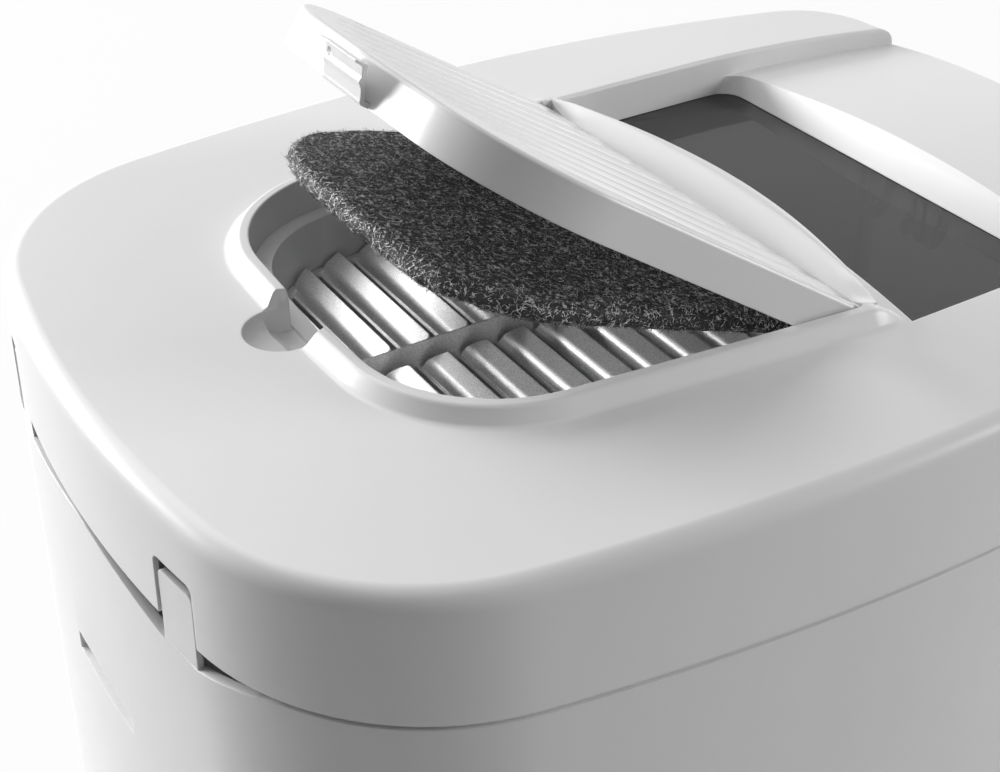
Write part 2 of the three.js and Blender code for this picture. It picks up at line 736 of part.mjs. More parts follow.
// The tray's outside, or with inset a form inside it, drawn on above the seam.
function trayForm(inset, low) {
  const steps = 4;
  const radius = trayBottomRound - inset;
  const rings = [];
  for (let i = 0; i <= steps; i += 1) {
    const angle = Math.PI / 2 * i / steps;
    const z = low + radius * (1 - Math.cos(angle));
    rings.push({ loop: plan(skinInset(z) + inset + radius * (1 - Math.sin(angle))), z });
  }
  rings.push({ loop: plan(skinInset(skirtLow) + inset), z: skirtLow });
  rings.push({ loop: plan(skinInset(seamTop) + inset), z: seamTop });
  return loft(rings);
}

// A form inside the tray's skin, from one distance above the seam to another.
const belt = (inset, from, to) => trayForm(inset, trayLift + trayFloor)
  .intersect(above(from)).intersect(under(to));

// Seam groove, an upper step and the locating lip inside the hood.
function trayWalls() {
  const face = wall + lipPlay;
  const locating = belt(face - 1, -lipDrop, -seamGroove - 2)
    .add(belt(face, -seamGroove - 3, lipRise))
    .subtract(trayForm(face + lipWall, trayLift + trayFloor));
  return trayForm(0, trayLift).intersect(under(-seamGroove))
    .add(belt(seamDepth, -seamGroove - 2, -seat))
    .subtract(trayForm(trayWall, trayLift + trayFloor))
    .add(locating);
}

// The scooped rim at the back, beside and between the tabs.
function rimScoop() {
  const lipTop = seamBack + lipRise + 1;
  const steps = 6;
  const half = [];
  for (let i = 0; i <= steps; i += 1) {
    const t = i / steps;
    half.push(point(tabOuter + (dipEnd - tabOuter) * t, seamBack - dipDepth * (1 - t) ** 1.4));
  }
  const outline = (side) => [
    point(0, seamBack - dipMiddle), point(side * tabInner, seamBack - dipDepth),
    point(side * tabOuter, seamBack - dipDepth), ...half.map((p) => point(side * p.x, p.y)),
    point(side * dipEnd, lipTop), point(0, lipTop),
  ];
  return bothSides((side) => alongY(new THREE.Shape(outline(side)), backY - 70, backY + 10));
}

// The two tabs that stand up into the hood's notches, flush with its wall.
function tabs() {
  const low = seamBack - dipDepth - 6;
  const top = seamBack + tabHeight;
  const band = trayForm(tabSink, trayLift + trayFloor)
    .subtract(trayForm(tabSink + trayWall, trayLift + trayFloor));
  const corners = (side) => [
    [side * tabInner, low, 0], [side * tabOuter, low, 0],
    [side * tabOuter, top, 3], [side * tabInner, top, 3],
  ];
  return bothSides((side) => alongY(new THREE.Shape(rounded(corners(side), 3)), backY - 60, backY + 10))
    .intersect(band);
}

// Pull pocket in the back wall: a wedge-shaped recess over a level ledge.
function pullPocket() {
  const face = backY - skinInset(pocketLedge);
  return alongX([
    [face + 5, pocketLedge + pocketTall + 14], [face - pocketSink, pocketLedge], [face + 5, pocketLedge],
  ], -pocketHalf, pocketHalf);
}

function pocketBacking() {
  const face = backY - skinInset(pocketLedge + pocketTall + 8);
  const inner = face - pocketSink - trayWall;
  return alongX([
    [face - 1, pocketLedge + pocketTall + 8], [inner, pocketLedge + 3], [inner, pocketLedge - trayWall],
    [face - 1, pocketLedge - trayWall],
  ], -pocketHalf - trayWall, pocketHalf + trayWall);
}

// The doorway is open upwards, so that the hood and its flap lift straight off.
function doorway(grow) {
  const half = doorwayHalf + grow;
  const low = sillHeight - grow;
  const corner = doorwayCorner + grow;
  return new THREE.Shape(rounded([
    [half, seamTop, 0], [-half, seamTop, 0], [-half, low, corner], [half, low, corner],
  ], 8));
}

function doorwayFrame() {
  const rear = frontY + 10;
  return alongY(doorway(doorwayBead), frontY - 5, rear, 8)
    .intersect(trayForm(0, trayLift).intersect(under(-seamGroove)))
    .subtract(alongY(doorway(0), frontY - 10, rear + 5, 8));
}

const footX = width / 2 - footInset - 20;
const footBackY = backY - footInset - 22;
const footFrontY = frontY + footInset + 6;
const footTop = trayLift + footSocket;

function baseTray() {
  const sockets = [1, -1].flatMap((side) => [footFrontY, footBackY].map(
    (y) => post(side * footX, y, -1, footTop + seat, footRadius + seat),
  ));
  let body = trayWalls()
    .subtract(rimScoop())
    .add(tabs())
    .add(pocketBacking())
    .subtract(pullPocket())
    .subtract(alongY(doorway(0), frontY - 10, frontY + 60, 8))
    .add(doorwayFrame());
  for (const socket of sockets) body = body.subtract(socket);
  return body;
}

const foot = (side, y) => post(side * footX, y, 0, footTop, footRadius);

// ---- Flap and its pins ----
function swingDoor() {
  const half = doorwayHalf - flapGap;
  const low = sillHeight + flapSill;
  const corner = flapCorner;
  const panel = new THREE.Shape(rounded([
    [half, pivotZ, 0], [-half, pivotZ, 0], [-half, low, corner], [half, low, corner],
  ], 8));
  return alongY(panel, pivotY - flapThickness / 2, pivotY + flapThickness / 2)
    .add(rod(-half, half, pivotY, pivotZ, flapBarrel))
    .subtract(bothSides((side) => sideRod(
      side, half - flapPinDepth - 1, half + 1, pivotY, pivotZ, flapPinRadius + seat,
    )));
}

function doorPin(side) {
  const outer = lugX + lugThickness + seat;
  return sideRod(side, doorwayHalf - flapGap - flapPinDepth, outer + 1, pivotY, pivotZ, flapPinRadius)
    .add(sideRod(side, outer, outer + flapPinHeadThickness, pivotY, pivotZ, flapPinHead));
}

// ---- Assembly ----
// A group turned about a line along X; its meshes are drawn as if it weren't turned.
function turned(y, z, angle, ...children) {
  const group = new THREE.Group();
  group.position.set(0, y, z);
  group.rotation.x = radians(angle);
  for (const child of children) child.position.set(0, -y, -z);
  group.add(...children);
  return group;
}

const box = new THREE.Group();
box.add(
  mesh('base_tray', baseTray(), trayWhite),
  mesh('hood_shell', hoodShell(), white),
  mesh('window_pane', windowPane(), smoke),
  mesh('window_clip_right', windowClip(1), clear),
  mesh('window_clip_left', windowClip(-1), clear),
  mesh('filter_grille', filterGrille(), silver),
  turned(lidAxisY, lidAxisZ, openAngle,
    mesh('filter_lid', filterLid(), lidWhite),
    mesh('lid_latch', lidLatch(), lidWhite)),
  turned(hingeY + padFront, ledgeZ + seat, padTilt, mesh('filter_pad', filterPad(), carbon)),
  mesh('swing_door', swingDoor(), smoke),
  mesh('door_pin_right', doorPin(1), clear),
  mesh('door_pin_left', doorPin(-1), clear),
  mesh('foot_front_right', foot(1, footFrontY), rubber),
  mesh('foot_front_left', foot(-1, footFrontY), rubber),
  mesh('foot_rear_right', foot(1, footBackY), rubber),
  mesh('foot_rear_left', foot(-1, footBackY), rubber),
);

export default box;
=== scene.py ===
"""Hooded cat litter box: its finishes, soft filter, light and camera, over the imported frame."""

from __future__ import annotations

import json
import logging
import math
import random
from dataclasses import dataclass, field
from enum import Enum
from typing import Any, Callable, Sequence

import bmesh
import bpy
from mathutils import Matrix, Vector, noise

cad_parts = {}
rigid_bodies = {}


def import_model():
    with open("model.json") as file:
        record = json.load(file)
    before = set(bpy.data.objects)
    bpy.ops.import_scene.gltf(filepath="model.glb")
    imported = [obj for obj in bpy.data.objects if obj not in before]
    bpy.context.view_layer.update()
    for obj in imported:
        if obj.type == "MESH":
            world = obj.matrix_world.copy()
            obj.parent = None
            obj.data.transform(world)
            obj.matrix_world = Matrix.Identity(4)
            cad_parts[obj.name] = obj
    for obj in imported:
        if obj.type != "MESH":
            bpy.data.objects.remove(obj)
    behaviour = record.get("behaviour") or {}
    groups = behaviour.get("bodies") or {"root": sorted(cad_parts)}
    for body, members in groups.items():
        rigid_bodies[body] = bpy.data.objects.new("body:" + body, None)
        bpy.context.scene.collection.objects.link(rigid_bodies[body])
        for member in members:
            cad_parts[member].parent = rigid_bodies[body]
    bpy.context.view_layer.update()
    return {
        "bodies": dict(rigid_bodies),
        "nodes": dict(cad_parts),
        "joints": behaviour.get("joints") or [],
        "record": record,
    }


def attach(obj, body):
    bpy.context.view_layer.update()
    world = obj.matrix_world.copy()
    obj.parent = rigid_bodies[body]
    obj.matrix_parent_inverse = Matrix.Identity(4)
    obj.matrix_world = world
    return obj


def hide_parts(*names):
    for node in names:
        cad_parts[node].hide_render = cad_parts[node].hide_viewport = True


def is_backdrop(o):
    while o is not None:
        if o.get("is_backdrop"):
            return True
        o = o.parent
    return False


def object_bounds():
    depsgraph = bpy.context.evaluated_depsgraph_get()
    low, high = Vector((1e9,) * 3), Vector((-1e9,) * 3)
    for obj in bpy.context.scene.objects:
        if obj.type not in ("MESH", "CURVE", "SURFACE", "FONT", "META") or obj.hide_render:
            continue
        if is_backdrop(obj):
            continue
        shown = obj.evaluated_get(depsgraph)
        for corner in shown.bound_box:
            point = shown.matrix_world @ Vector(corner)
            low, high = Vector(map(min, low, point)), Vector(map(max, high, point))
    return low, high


LOG = logging.getLogger("litter_box")
MM = 0.001
Point = tuple[float, float]
Loop = list[Point]


class Side(Enum):
    """A side of the box, as its sign along X."""

    RIGHT = 1
    LEFT = -1

    @property
    def word(self) -> str:
        """The side's name within a piece's name."""
        return self.name.lower()


class Carrier(Enum):
    """The frame's bodies that pieces ride on."""

    TRAY = "tray"
    HOOD = "hood"
    LID = "lid"
    LATCH = "latch"
    PAD = "pad"
    FLAP = "flap"


# ---------------------------------------------------------------- node graphs


class Socket:
    """An output of a node, with arithmetic that adds Math nodes."""

    def __init__(self, graph: Graph, link: bpy.types.NodeSocket) -> None:
        """Keep the graph and the socket that values come from."""
        self.graph = graph
        self.link = link

    def math(self, operation: str, *values: Socket | float) -> Socket:
        """Add a Math node on this value.

        Args:
            operation: The Math node's operation.
            values: Its other inputs.

        Returns:
            The node's result.
        """
        inputs = dict(enumerate((self, *values)))
        return self.graph.node("ShaderNodeMath", {"operation": operation}, inputs)

    def __add__(self, other: Socket | float) -> Socket:
        """Sum of this and another value."""
        return self.math("ADD", other)

    __radd__ = __add__

    def __sub__(self, other: Socket | float) -> Socket:
        """This less another value."""
        return self.math("SUBTRACT", other)

    def __rsub__(self, other: float) -> Socket:
        """A number less this value."""
        return self.graph.node("ShaderNodeMath", {"operation": "SUBTRACT"}, {0: other, 1: self})

    def __mul__(self, other: Socket | float) -> Socket:
        """Product of this and another value."""
        return self.math("MULTIPLY", other)

    __rmul__ = __mul__

    def clamp(self, low: float, high: float) -> Socket:
        """This value held between two limits."""
        return self.math("MAXIMUM", low).math("MINIMUM", high)

    def step(self, low: float, high: float) -> Socket:
        """A smooth rise from 0 at low to 1 at high.

        Args:
            low: Where the rise starts.
            high: Where it ends.

        Returns:
            The risen value.
        """
        settings = {"interpolation_type": "SMOOTHSTEP"}
        values = {"Value": self, "From Min": low, "From Max": high}
        return self.graph.node("ShaderNodeMapRange", settings, values)


class Graph:
    """The node tree of one material or of the world."""

    def __init__(self, tree: bpy.types.NodeTree) -> None:
        """Start from an empty tree."""
        self.tree = tree
        self.tree.nodes.clear()

    def node(
        self,
        kind: str,
        settings: dict[str, Any] | None = None,
        values: dict[Any, Any] | None = None,
        output: int | str = 0,
    ) -> Socket:
        """Add a node.

        Args:
            kind: The node's type name.
            settings: Attributes that are set first.
            values: What goes into its sockets, as numbers, colours or links.
            output: Which of its outputs is wanted.

        Returns:
            That output.
        """
        made = self.tree.nodes.new(kind)
        for name, value in (settings or {}).items():
            setattr(made, name, value)
        for name, value in (values or {}).items():
            if isinstance(value, Socket):
                self.tree.links.new(value.link, made.inputs[name])
            else:
                made.inputs[name].default_value = value
        return Socket(self, made.outputs[output] if made.outputs else made.inputs[0])

    def coordinates(self) -> Socket:
        """Places on the object, in metres."""
        return self.node("ShaderNodeTexCoord", output="Object")

    def noise(
        self, at: Socket, scale: float, detail: float = 2.0, roughness: float = 0.5
    ) -> Socket:
        """Soft noise between 0 and 1 at a scale in waves per metre."""
        values = {"Vector": at, "Scale": scale, "Detail": detail, "Roughness": roughness}
        return self.node("ShaderNodeTexNoise", values=values)

    def mix(self, factor: Socket | float, first: Any, second: Any) -> Socket:
        """Two colours joined by a Mix node."""
        values = {0: factor, 6: first, 7: second}
        return self.node("ShaderNodeMix", {"data_type": "RGBA"}, values, output=2)

    def bump(self, height: Socket, depth: float, normal: Socket | None = None) -> Socket:
        """A normal from a height between 0 and 1 and a depth in metres.

        Args:
            height: The height.
            depth: How deep its whole range is.
            normal: A normal that it stands on.

        Returns:
            The bumped normal.
        """
        values: dict[Any, Any] = {"Height": height, "Distance": depth, "Strength": 1.0}
        if normal is not None:
            values["Normal"] = normal
        return self.node("ShaderNodeBump", values=values)

    def soft_edges(self, radius: float) -> Socket:
        """A normal that rounds the edges of moulded parts."""
        return self.node("ShaderNodeBevel", {"samples": 6}, {"Radius": radius})

    def principled(self, colour: Any, values: dict[str, Any]) -> Socket:
        """The shader of a surface, from its colour and its other sockets."""
        return self.node("ShaderNodeBsdfPrincipled", values={"Base Color": colour, **values})

    def background_rays(self) -> Socket:
        """1 for rays that show the background: seen, reflected or seen through.

        Returns:
            The share.
        """
        total: Socket | float = 0.0
        for path in ("Is Camera Ray", "Is Glossy Ray", "Is Transmission Ray"):
            total = self.node("ShaderNodeLightPath", output=path) + total
        return total.clamp(0.0, 1.0)


def grey(level: float) -> tuple[float, float, float, float]:
    """An opaque neutral colour."""
    return (level, level, level, 1.0)


# ---------------------------------------------------------------- finishes


@dataclass(frozen=True)
class Finish:
    """What every surface has: a name and, on the box, the record's slot."""

    name: str
    slot: str = ""

    def material(self) -> bpy.types.Material:
        """The finish as a material, made once.

        Returns:
            The material.
        """
        found = bpy.data.materials.get(self.name)
        if found is not None:
            return found
        made = bpy.data.materials.new(self.name)
        made.use_nodes = True
        graph = Graph(made.node_tree)
        surface = self.surface(graph)
        graph.node("ShaderNodeOutputMaterial", values={"Surface": surface})
        return made

    def surface(self, graph: Graph) -> Socket:
        """The shader of this finish."""
        raise NotImplementedError

    def dress(self, piece: bpy.types.Object) -> None:
        """Give a piece this finish in every slot.

        Args:
            piece: What is dressed.
        """
        if piece.material_slots:
            for slot in piece.material_slots:
                slot.material = self.material()
        else:
            piece.data.materials.append(self.material())


@dataclass(frozen=True)
class MouldedPlastic(Finish):
    """Injection-moulded plastic: slight mottling, a fine spark-eroded skin and soft edges."""

    level: float = 0.8
    gloss_roughness: float = 0.34
    cloud_scale: float = 7.0
    cloud_shade: float = 0.965
    skin_scale: float = 2600.0
    skin_depth: float = 0.000012
    edge_radius: float = 0.0007
    refraction: float = 1.46

    def surface(self, graph: Graph) -> Socket:
        """Pale plastic with a fine skin.

        Args:
            graph: The node tree that it is made in.

        Returns:
            The shader.
        """
        at = graph.coordinates()
        cloud = graph.noise(at, self.cloud_scale, 3.0)
        skin = graph.noise(at, self.skin_scale, 2.0, 0.6)
        shade = grey(self.level * self.cloud_shade)
        colour = graph.mix(cloud.step(0.35, 0.7), grey(self.level), shade)
        roughness = cloud * 0.06 + (self.gloss_roughness - 0.03) + skin * 0.04
        normal = graph.bump(skin, self.skin_depth, graph.soft_edges(self.edge_radius))
        values = {"Roughness": roughness.clamp(0.05, 0.95), "Normal": normal}
        return graph.principled(colour, {**values, "IOR": self.refraction})


@dataclass(frozen=True)
class SilverPaint(Finish):
    """Silver paint with fine flakes."""

    level: float = 0.9
    metallic: float = 0.75
    flake_scale: float = 1900.0
    flake_depth: float = 0.000015
    flake_levels: Point = (0.75, 1.08)
    cloud_scale: float = 60.0
    edge_radius: float = 0.0008

    def surface(self, graph: Graph) -> Socket:
        """Speckled silver.

        Args:
            graph: The node tree that it is made in.

        Returns:
            The shader.
        """
        at = graph.coordinates()
        flake = graph.noise(at, self.flake_scale, 2.0, 0.6)
        cloud = graph.noise(at, self.cloud_scale, 2.0)
        dim, bright = (grey(self.level * share) for share in self.flake_levels)
        colour = graph.mix(flake.step(0.36, 0.66), dim, bright)
        roughness = (flake * 0.2 + 0.28 + cloud * 0.06).clamp(0.1, 0.9)
        normal = graph.bump(flake, self.flake_depth, graph.soft_edges(self.edge_radius))
        values = {"Metallic": self.metallic, "Roughness": roughness, "Normal": normal}
        return graph.principled(colour, values)


@dataclass(frozen=True)
class SmokedPlastic(Finish):
    """Clear plastic with a smoke tint."""

    level: float = 0.04
    cover: float = 0.66
    haze_scale: float = 30.0
    haze_level: float = 1.25
    edge_radius: float = 0.0006

    def surface(self, graph: Graph) -> Socket:
        """A dark sheet that lets some of what is under it through.

        Args:
            graph: The node tree that it is made in.

        Returns:
            The shader.
        """
        haze = graph.noise(graph.coordinates(), self.haze_scale, 3.0)
        colour = graph.mix(haze, grey(self.level), grey(self.level * self.haze_level))
        values = {
            "Roughness": haze * 0.03 + 0.04,
            "Alpha": haze * 0.03 + self.cover,
            "Normal": graph.soft_edges(self.edge_radius),
        }
        return graph.principled(colour, values)


@dataclass(frozen=True)
class FeltFibre(Finish):
    """Black charcoal fibre with paler strands."""

    dark: float = 0.008
    pale: float = 0.16
    share: float = 0.62
    share_width: float = 0.16
    roughness: float = 0.75
    fleck_scale: float = 900.0
    fleck_depth: float = 0.0006

    def surface(self, graph: Graph) -> Socket:
        """Matt fibre, dark with pale flecks; on the loose fibres the pale flecks are partly painted
        glints of light.

        Args:
            graph: The node tree that it is made in.

        Returns:
            The shader.
        """
        fleck = graph.noise(graph.coordinates(), self.fleck_scale, 4.0, 0.75)
        share = fleck.step(self.share, self.share + self.share_width)
        colour = graph.mix(share, grey(self.dark), grey(self.pale))
        normal = graph.bump(fleck, self.fleck_depth)
        return graph.principled(colour, {"Roughness": self.roughness, "Normal": normal})


@dataclass(frozen=True)
class SoftRubber(Finish):
    """Grey rubber of the feet."""

    level: float = 0.12
    dust_scale: float = 240.0
    dust_level: float = 1.5
    dust_depth: float = 0.00008
    edge_radius: float = 0.0008

    def surface(self, graph: Graph) -> Socket:
        """Matt rubber with a dusty bloom.

        Args:
            graph: The node tree that it is made in.

        Returns:
            The shader.
        """
        dust = graph.noise(graph.coordinates(), self.dust_scale, 4.0, 0.65)
        dusty = grey(self.level * self.dust_level)
        colour = graph.mix(dust.step(0.4, 0.8), grey(self.level), dusty)
        normal = graph.bump(dust, self.dust_depth, graph.soft_edges(self.edge_radius))
        return graph.principled(colour, {"Roughness": dust * 0.15 + 0.7, "Normal": normal})


@dataclass(frozen=True)
class StudioFloor(Finish):
    """Pale matt floor that shows as white and keeps some of the shadow."""

    level: float = 0.5
    roughness: float = 0.8
    white_share: float = 0.94

    def surface(self, graph: Graph) -> Socket:
        """Matt under the light, and nearly white where it is seen.

        Args:
            graph: The node tree that it is made in.

        Returns:
            The shader.
        """
        matt = graph.principled(grey(self.level), {"Roughness": self.roughness})
        white = graph.node("ShaderNodeEmission", values={"Color": grey(1.0), "Strength": 1.0})
        share = graph.background_rays() * self.white_share
        return graph.node("ShaderNodeMixShader", values={0: share, 1: matt, 2: white})


WHITE_SHELL = MouldedPlastic("white_shell", "hood_plastic", level=0.8)
WHITE_TRAY = MouldedPlastic("white_tray", "tray_plastic", level=0.78)
WHITE_LID = MouldedPlastic("white_lid", "lid_plastic", level=0.78, gloss_roughness=0.24)
PALE_CLIP = MouldedPlastic("pale_clip", "clip_plastic", level=0.6, gloss_roughness=0.2)
SILVER = SilverPaint("silver_grille_paint", "silver_plastic")
SMOKE = SmokedPlastic("smoked_sheet", "smoked_plastic")
CHARCOAL = FeltFibre("charcoal_fibre", "carbon_felt")
FOOT_RUBBER = SoftRubber("foot_rubber", "foot_rubber")
# The loose fibres' near-white flecks are partly paler strands and partly painted glints: light
# caught on glossy black strands, painted into their colour.
FIBRE = FeltFibre(
    "loose_fibre_painted_glints",
    "carbon_felt",
    dark=0.012,
    pale=0.85,
    share=0.46,
    roughness=0.35,
    fleck_scale=420.0,
)
FLOOR = StudioFloor("studio_floor")


# ---------------------------------------------------------------- outlines


def arc(centre: Point, radius: float, start: float, stop: float, steps: int) -> Loop:
    """Points on an arc, without its last one."""
    angles = [start + (stop - start) * i / steps for i in range(steps)]
    return [(centre[0] + radius * math.cos(a), centre[1] + radius * math.sin(a)) for a in angles]


def circle(centre: Point, radius: float, steps: int = 48) -> Loop:
    """A whole circle."""
    return arc(centre, radius, 0.0, 2 * math.pi, steps)


def quarter_turn(steps: int) -> list[float]:
    """Angles from 0 to a right angle."""
    return [math.pi / 2 * i / steps for i in range(steps + 1)]


def rounded(corners: Sequence[tuple[float, float, float]], steps: int = 12) -> Loop:
    """A polygon with each corner rounded by its own radius.

    Args:
        corners: Each corner's place and radius.
        steps: Points on each round.

    Returns:
        The outline.
    """
    loop: Loop = []
    for i, (x, y, radius) in enumerate(corners):
        here = Vector((x, y))
        back = (Vector(corners[i - 1][:2]) - here).normalized()
        ahead = (Vector(corners[(i + 1) % len(corners)][:2]) - here).normalized()
        if radius <= 0:
            loop.append((x, y))
            continue
        half = math.acos(max(-1.0, min(1.0, back.dot(ahead)))) / 2
        centre = here + (back + ahead).normalized() * (radius / math.sin(half))
        start = here + back * (radius / math.tan(half)) - centre
        stop = here + ahead * (radius / math.tan(half)) - centre
        turn = math.atan2(start.x * stop.y - start.y * stop.x, start.dot(stop))
        first = math.atan2(start.y, start.x)
        loop += arc((centre.x, centre.y), radius, first, first + turn, steps)
        loop.append((centre.x + stop.x, centre.y + stop.y))
    return loop


def gate(sides: Point, square: float, soft: float, corner: float, steps: int = 12) -> Loop:
    """A rectangle with two round corners.

    Args:
        sides: Where its two sides stand.
        square: Level of the end with square corners.
        soft: Level of the end with round corners.
        corner: Their radius.
        steps: Points on each round.

    Returns:
        The outline.
    """
    first, second = sides
    square_end = [(first, square, 0.0), (second, square, 0.0)]
    return rounded([*square_end, (second, soft, corner), (first, soft, corner)], steps)


@dataclass(frozen=True)
class Body:
    """Outer form that the hood and the tray share, in millimetres."""

    hinge_y: float
    crest_z: float
    half_width: float = 216.0
    hinge_from_back: float = 313.0
    length: float = 565.0
    widest_from_back: float = 302.0
    back_radii: tuple[float, float, float] = (1200.0, 113.0, 640.0)
    front_radii: tuple[float, float, float] = (780.0, 54.0, 1200.0)
    steps: tuple[int, int, int] = (22, 18, 12)
    rim_rise: float = 7.4
    roof_round: float = 9.0
    skirt_height: float = 64.6
    skirt_draft: float = 2.0
    seam_tilt: float = 1.5
    tray_flare: float = 9.0
    wall: float = 2.4
    flap_setback: float = 16.5
    flap_rise: float = 2.0

    @property
    def back_y(self) -> float:
        """The hood's back end."""
        return self.hinge_y + self.hinge_from_back

    @property
    def front_y(self) -> float:
        """The hood's front end."""
        return self.back_y - self.length

    @property
    def roof_z(self) -> float:
        """Height of the roof."""
        return self.crest_z - self.rim_rise

    @property
    def skirt_low(self) -> float:
        """Height under the lowest point of the seam."""
        return self.seam_at(self.front_y) - 1

    @property
    def flap_axis(self) -> Point:
        """The line that the entrance flap swings about, as y and z."""
        return self.front_y + self.flap_setback, self.seam_at(self.front_y) + self.flap_rise

    def seam_at(self, y: float) -> float:
        """Height of the seam, which climbs to the back."""
        climb = math.tan(math.radians(self.seam_tilt)) * (y - self.hinge_y)
        return self.roof_z - self.skirt_height + climb

    def quarter(self, reach: float, radii: tuple[float, float, float], inset: float) -> Loop:
        """A quarter of the plan, from the side at y = 0 to the end at x = 0.

        Args:
            reach: From the widest line to the end.
            radii: Of the side, the corner and the end, tangent to each other.
            inset: How far inside the plan.

        Returns:
            Its points.
        """
        side_radius, corner_radius, end_radius = radii
        side = Vector((self.half_width - side_radius, 0.0))
        end = Vector((0.0, reach - end_radius))
        to_side, to_end = side_radius - corner_radius, end_radius - corner_radius
        between = end - side
        span = between.length
        along = (to_side**2 - to_end**2 + span**2) / (2 * span)
        across = math.sqrt(to_side**2 - along**2)
        unit = between / span
        normal = Vector((-unit.y, unit.x))
        choices = [side + unit * along + normal * across * s for s in (1, -1)]
        centre = next(c for c in choices if c.x > 0 and c.y > 0)
        side_angle = math.atan2(centre.y - side.y, centre.x - side.x)
        end_angle = math.atan2(centre.y - end.y, centre.x - end.x)
        flank, corner, tip = self.steps
        return [
            *arc((side.x, side.y), side_radius - inset, 0.0, side_angle, flank),
            *arc((centre.x, centre.y), corner_radius - inset, side_angle, end_angle, corner),
            *arc((end.x, end.y), end_radius - inset, end_angle, math.pi / 2, tip),
            (0.0, reach - inset),
        ]

    def plan(self, inset: float) -> Loop:
        """The box's plan, moved in by inset.

        Args:
            inset: How far inside the plan.

        Returns:
            Its points, once round.
        """
        middle = self.back_y - self.widest_from_back
        back = self.quarter(self.widest_from_back, self.back_radii, inset)
        front = self.quarter(self.length - self.widest_from_back, self.front_radii, inset)
        loop: Loop = []
        for quarter, sx, sy in ((back, 1, 1), (back, -1, 1), (front, -1, -1), (front, 1, -1)):
            turned = [(x * sx, middle + y * sy) for x, y in quarter]
            loop += (turned if sx * sy > 0 else turned[::-1])[:-1]
        return loop

    def skin_inset(self, z: float) -> float:
        """How far the skin lies inside the plan: the hood's draft, then the tray's flare.

        Args:
            z: The height.

        Returns:
            The distance, below 0 where the skin stands outside the plan.
        """
        top = self.roof_z - self.roof_round
        if z >= self.skirt_low:
            return -self.skirt_draft * (top - z) / (top - self.skirt_low)
        return -self.skirt_draft - self.tray_flare * (self.skirt_low - z) / self.skirt_low

    def above_seam(self, offset: float) -> Solid:
        """Everything over the seam, with the seam moved up by offset."""
        return self._beyond_seam(offset, 2 * self.crest_z)

    def under_seam(self, offset: float) -> Solid:
        """Everything under the seam, with the seam moved up by offset."""
        return self._beyond_seam(offset, -self.crest_z)

    def _beyond_seam(self, offset: float, level: float) -> Solid:
        """The space between the seam and a level.

        Args:
            offset: How far the seam is moved up.
            level: The height that the space reaches.

        Returns:
            The space.
        """
        reach = 2 * self.half_width
        front, back = self.front_y - reach, self.back_y + reach
        seam = [(y, self.seam_at(y) + offset) for y in (back, front)]
        return Solid.along_x([(front, level), (back, level), *seam], -reach, reach)


@dataclass(frozen=True)
class Mouth:
    """Opening of the filter compartment, in millimetres."""

    hinge_y: float
    front_half: float = 128.0
    back_half: float = 107.0
    length: float = 200.5
    bow: float = 4.5
    corner: float = 66.0
    bow_radius: float = 300.0
    hinge_corner: float = 3.0

    @property
    def slope(self) -> float:
        """How fast the sides close to the back."""
        return (self.front_half - self.back_half) / self.length

    @property
    def back_y(self) -> float:
        """The opening's back end."""
        return self.hinge_y + self.length + self.bow

    def side_x(self, y: float, inset: float) -> float:
        """Half the width at a distance behind the hinge line."""
        return self.front_half - self.slope * y - inset * math.hypot(1, self.slope)

    def outline(self, inset: float, front_inset: float | None = None) -> Loop:
        """The opening, moved in by inset, and its front edge by its own inset if it has one.

        Args:
            inset: How far the sides and the back are moved in.
            front_inset: How far the front edge is moved in.

        Returns:
            Its points, once round.
        """
        front = inset if front_inset is None else front_inset
        back = self.length - inset
        small = max(self.hinge_corner - inset, 1.0)
        half = [
            (self.side_x(front, inset), front, small),
            (self.side_x(back, inset), back, max(self.corner - inset, 1.0)),
        ]
        mirrored = [(-x, y, r) for x, y, r in half[::-1]]
        corners = [*half, (0.0, back + self.bow, self.bow_radius), *mirrored]
        return rounded([(x, self.hinge_y + y, r) for x, y, r in corners], 20)


# ---------------------------------------------------------------- solids


class Cut(Enum):
    """How one solid acts on another."""

    JOIN = "UNION"
    REMOVE = "DIFFERENCE"
    KEEP = "INTERSECT"


def placed(name: str, data: bpy.types.ID) -> bpy.types.Object:
    """A new object in the scene.

    Args:
        name: The object's name.
        data: Its mesh, lamp or camera.

    Returns:
        The object.
    """
    made = bpy.data.objects.new(name, data)
    bpy.context.scene.collection.objects.link(made)
    return made


def evaluated(piece: bpy.types.Object) -> bpy.types.Mesh:
    """A piece's mesh with its modifiers applied."""
    graph = bpy.context.evaluated_depsgraph_get()
    return bpy.data.meshes.new_from_object(piece.evaluated_get(graph))


def facing(place: Vector, ahead: Vector) -> Matrix:
    """Where a lamp or a camera stands, and what it faces."""
    return Matrix.Translation(place) @ ahead.to_track_quat("-Z", "Y").to_matrix().to_4x4()


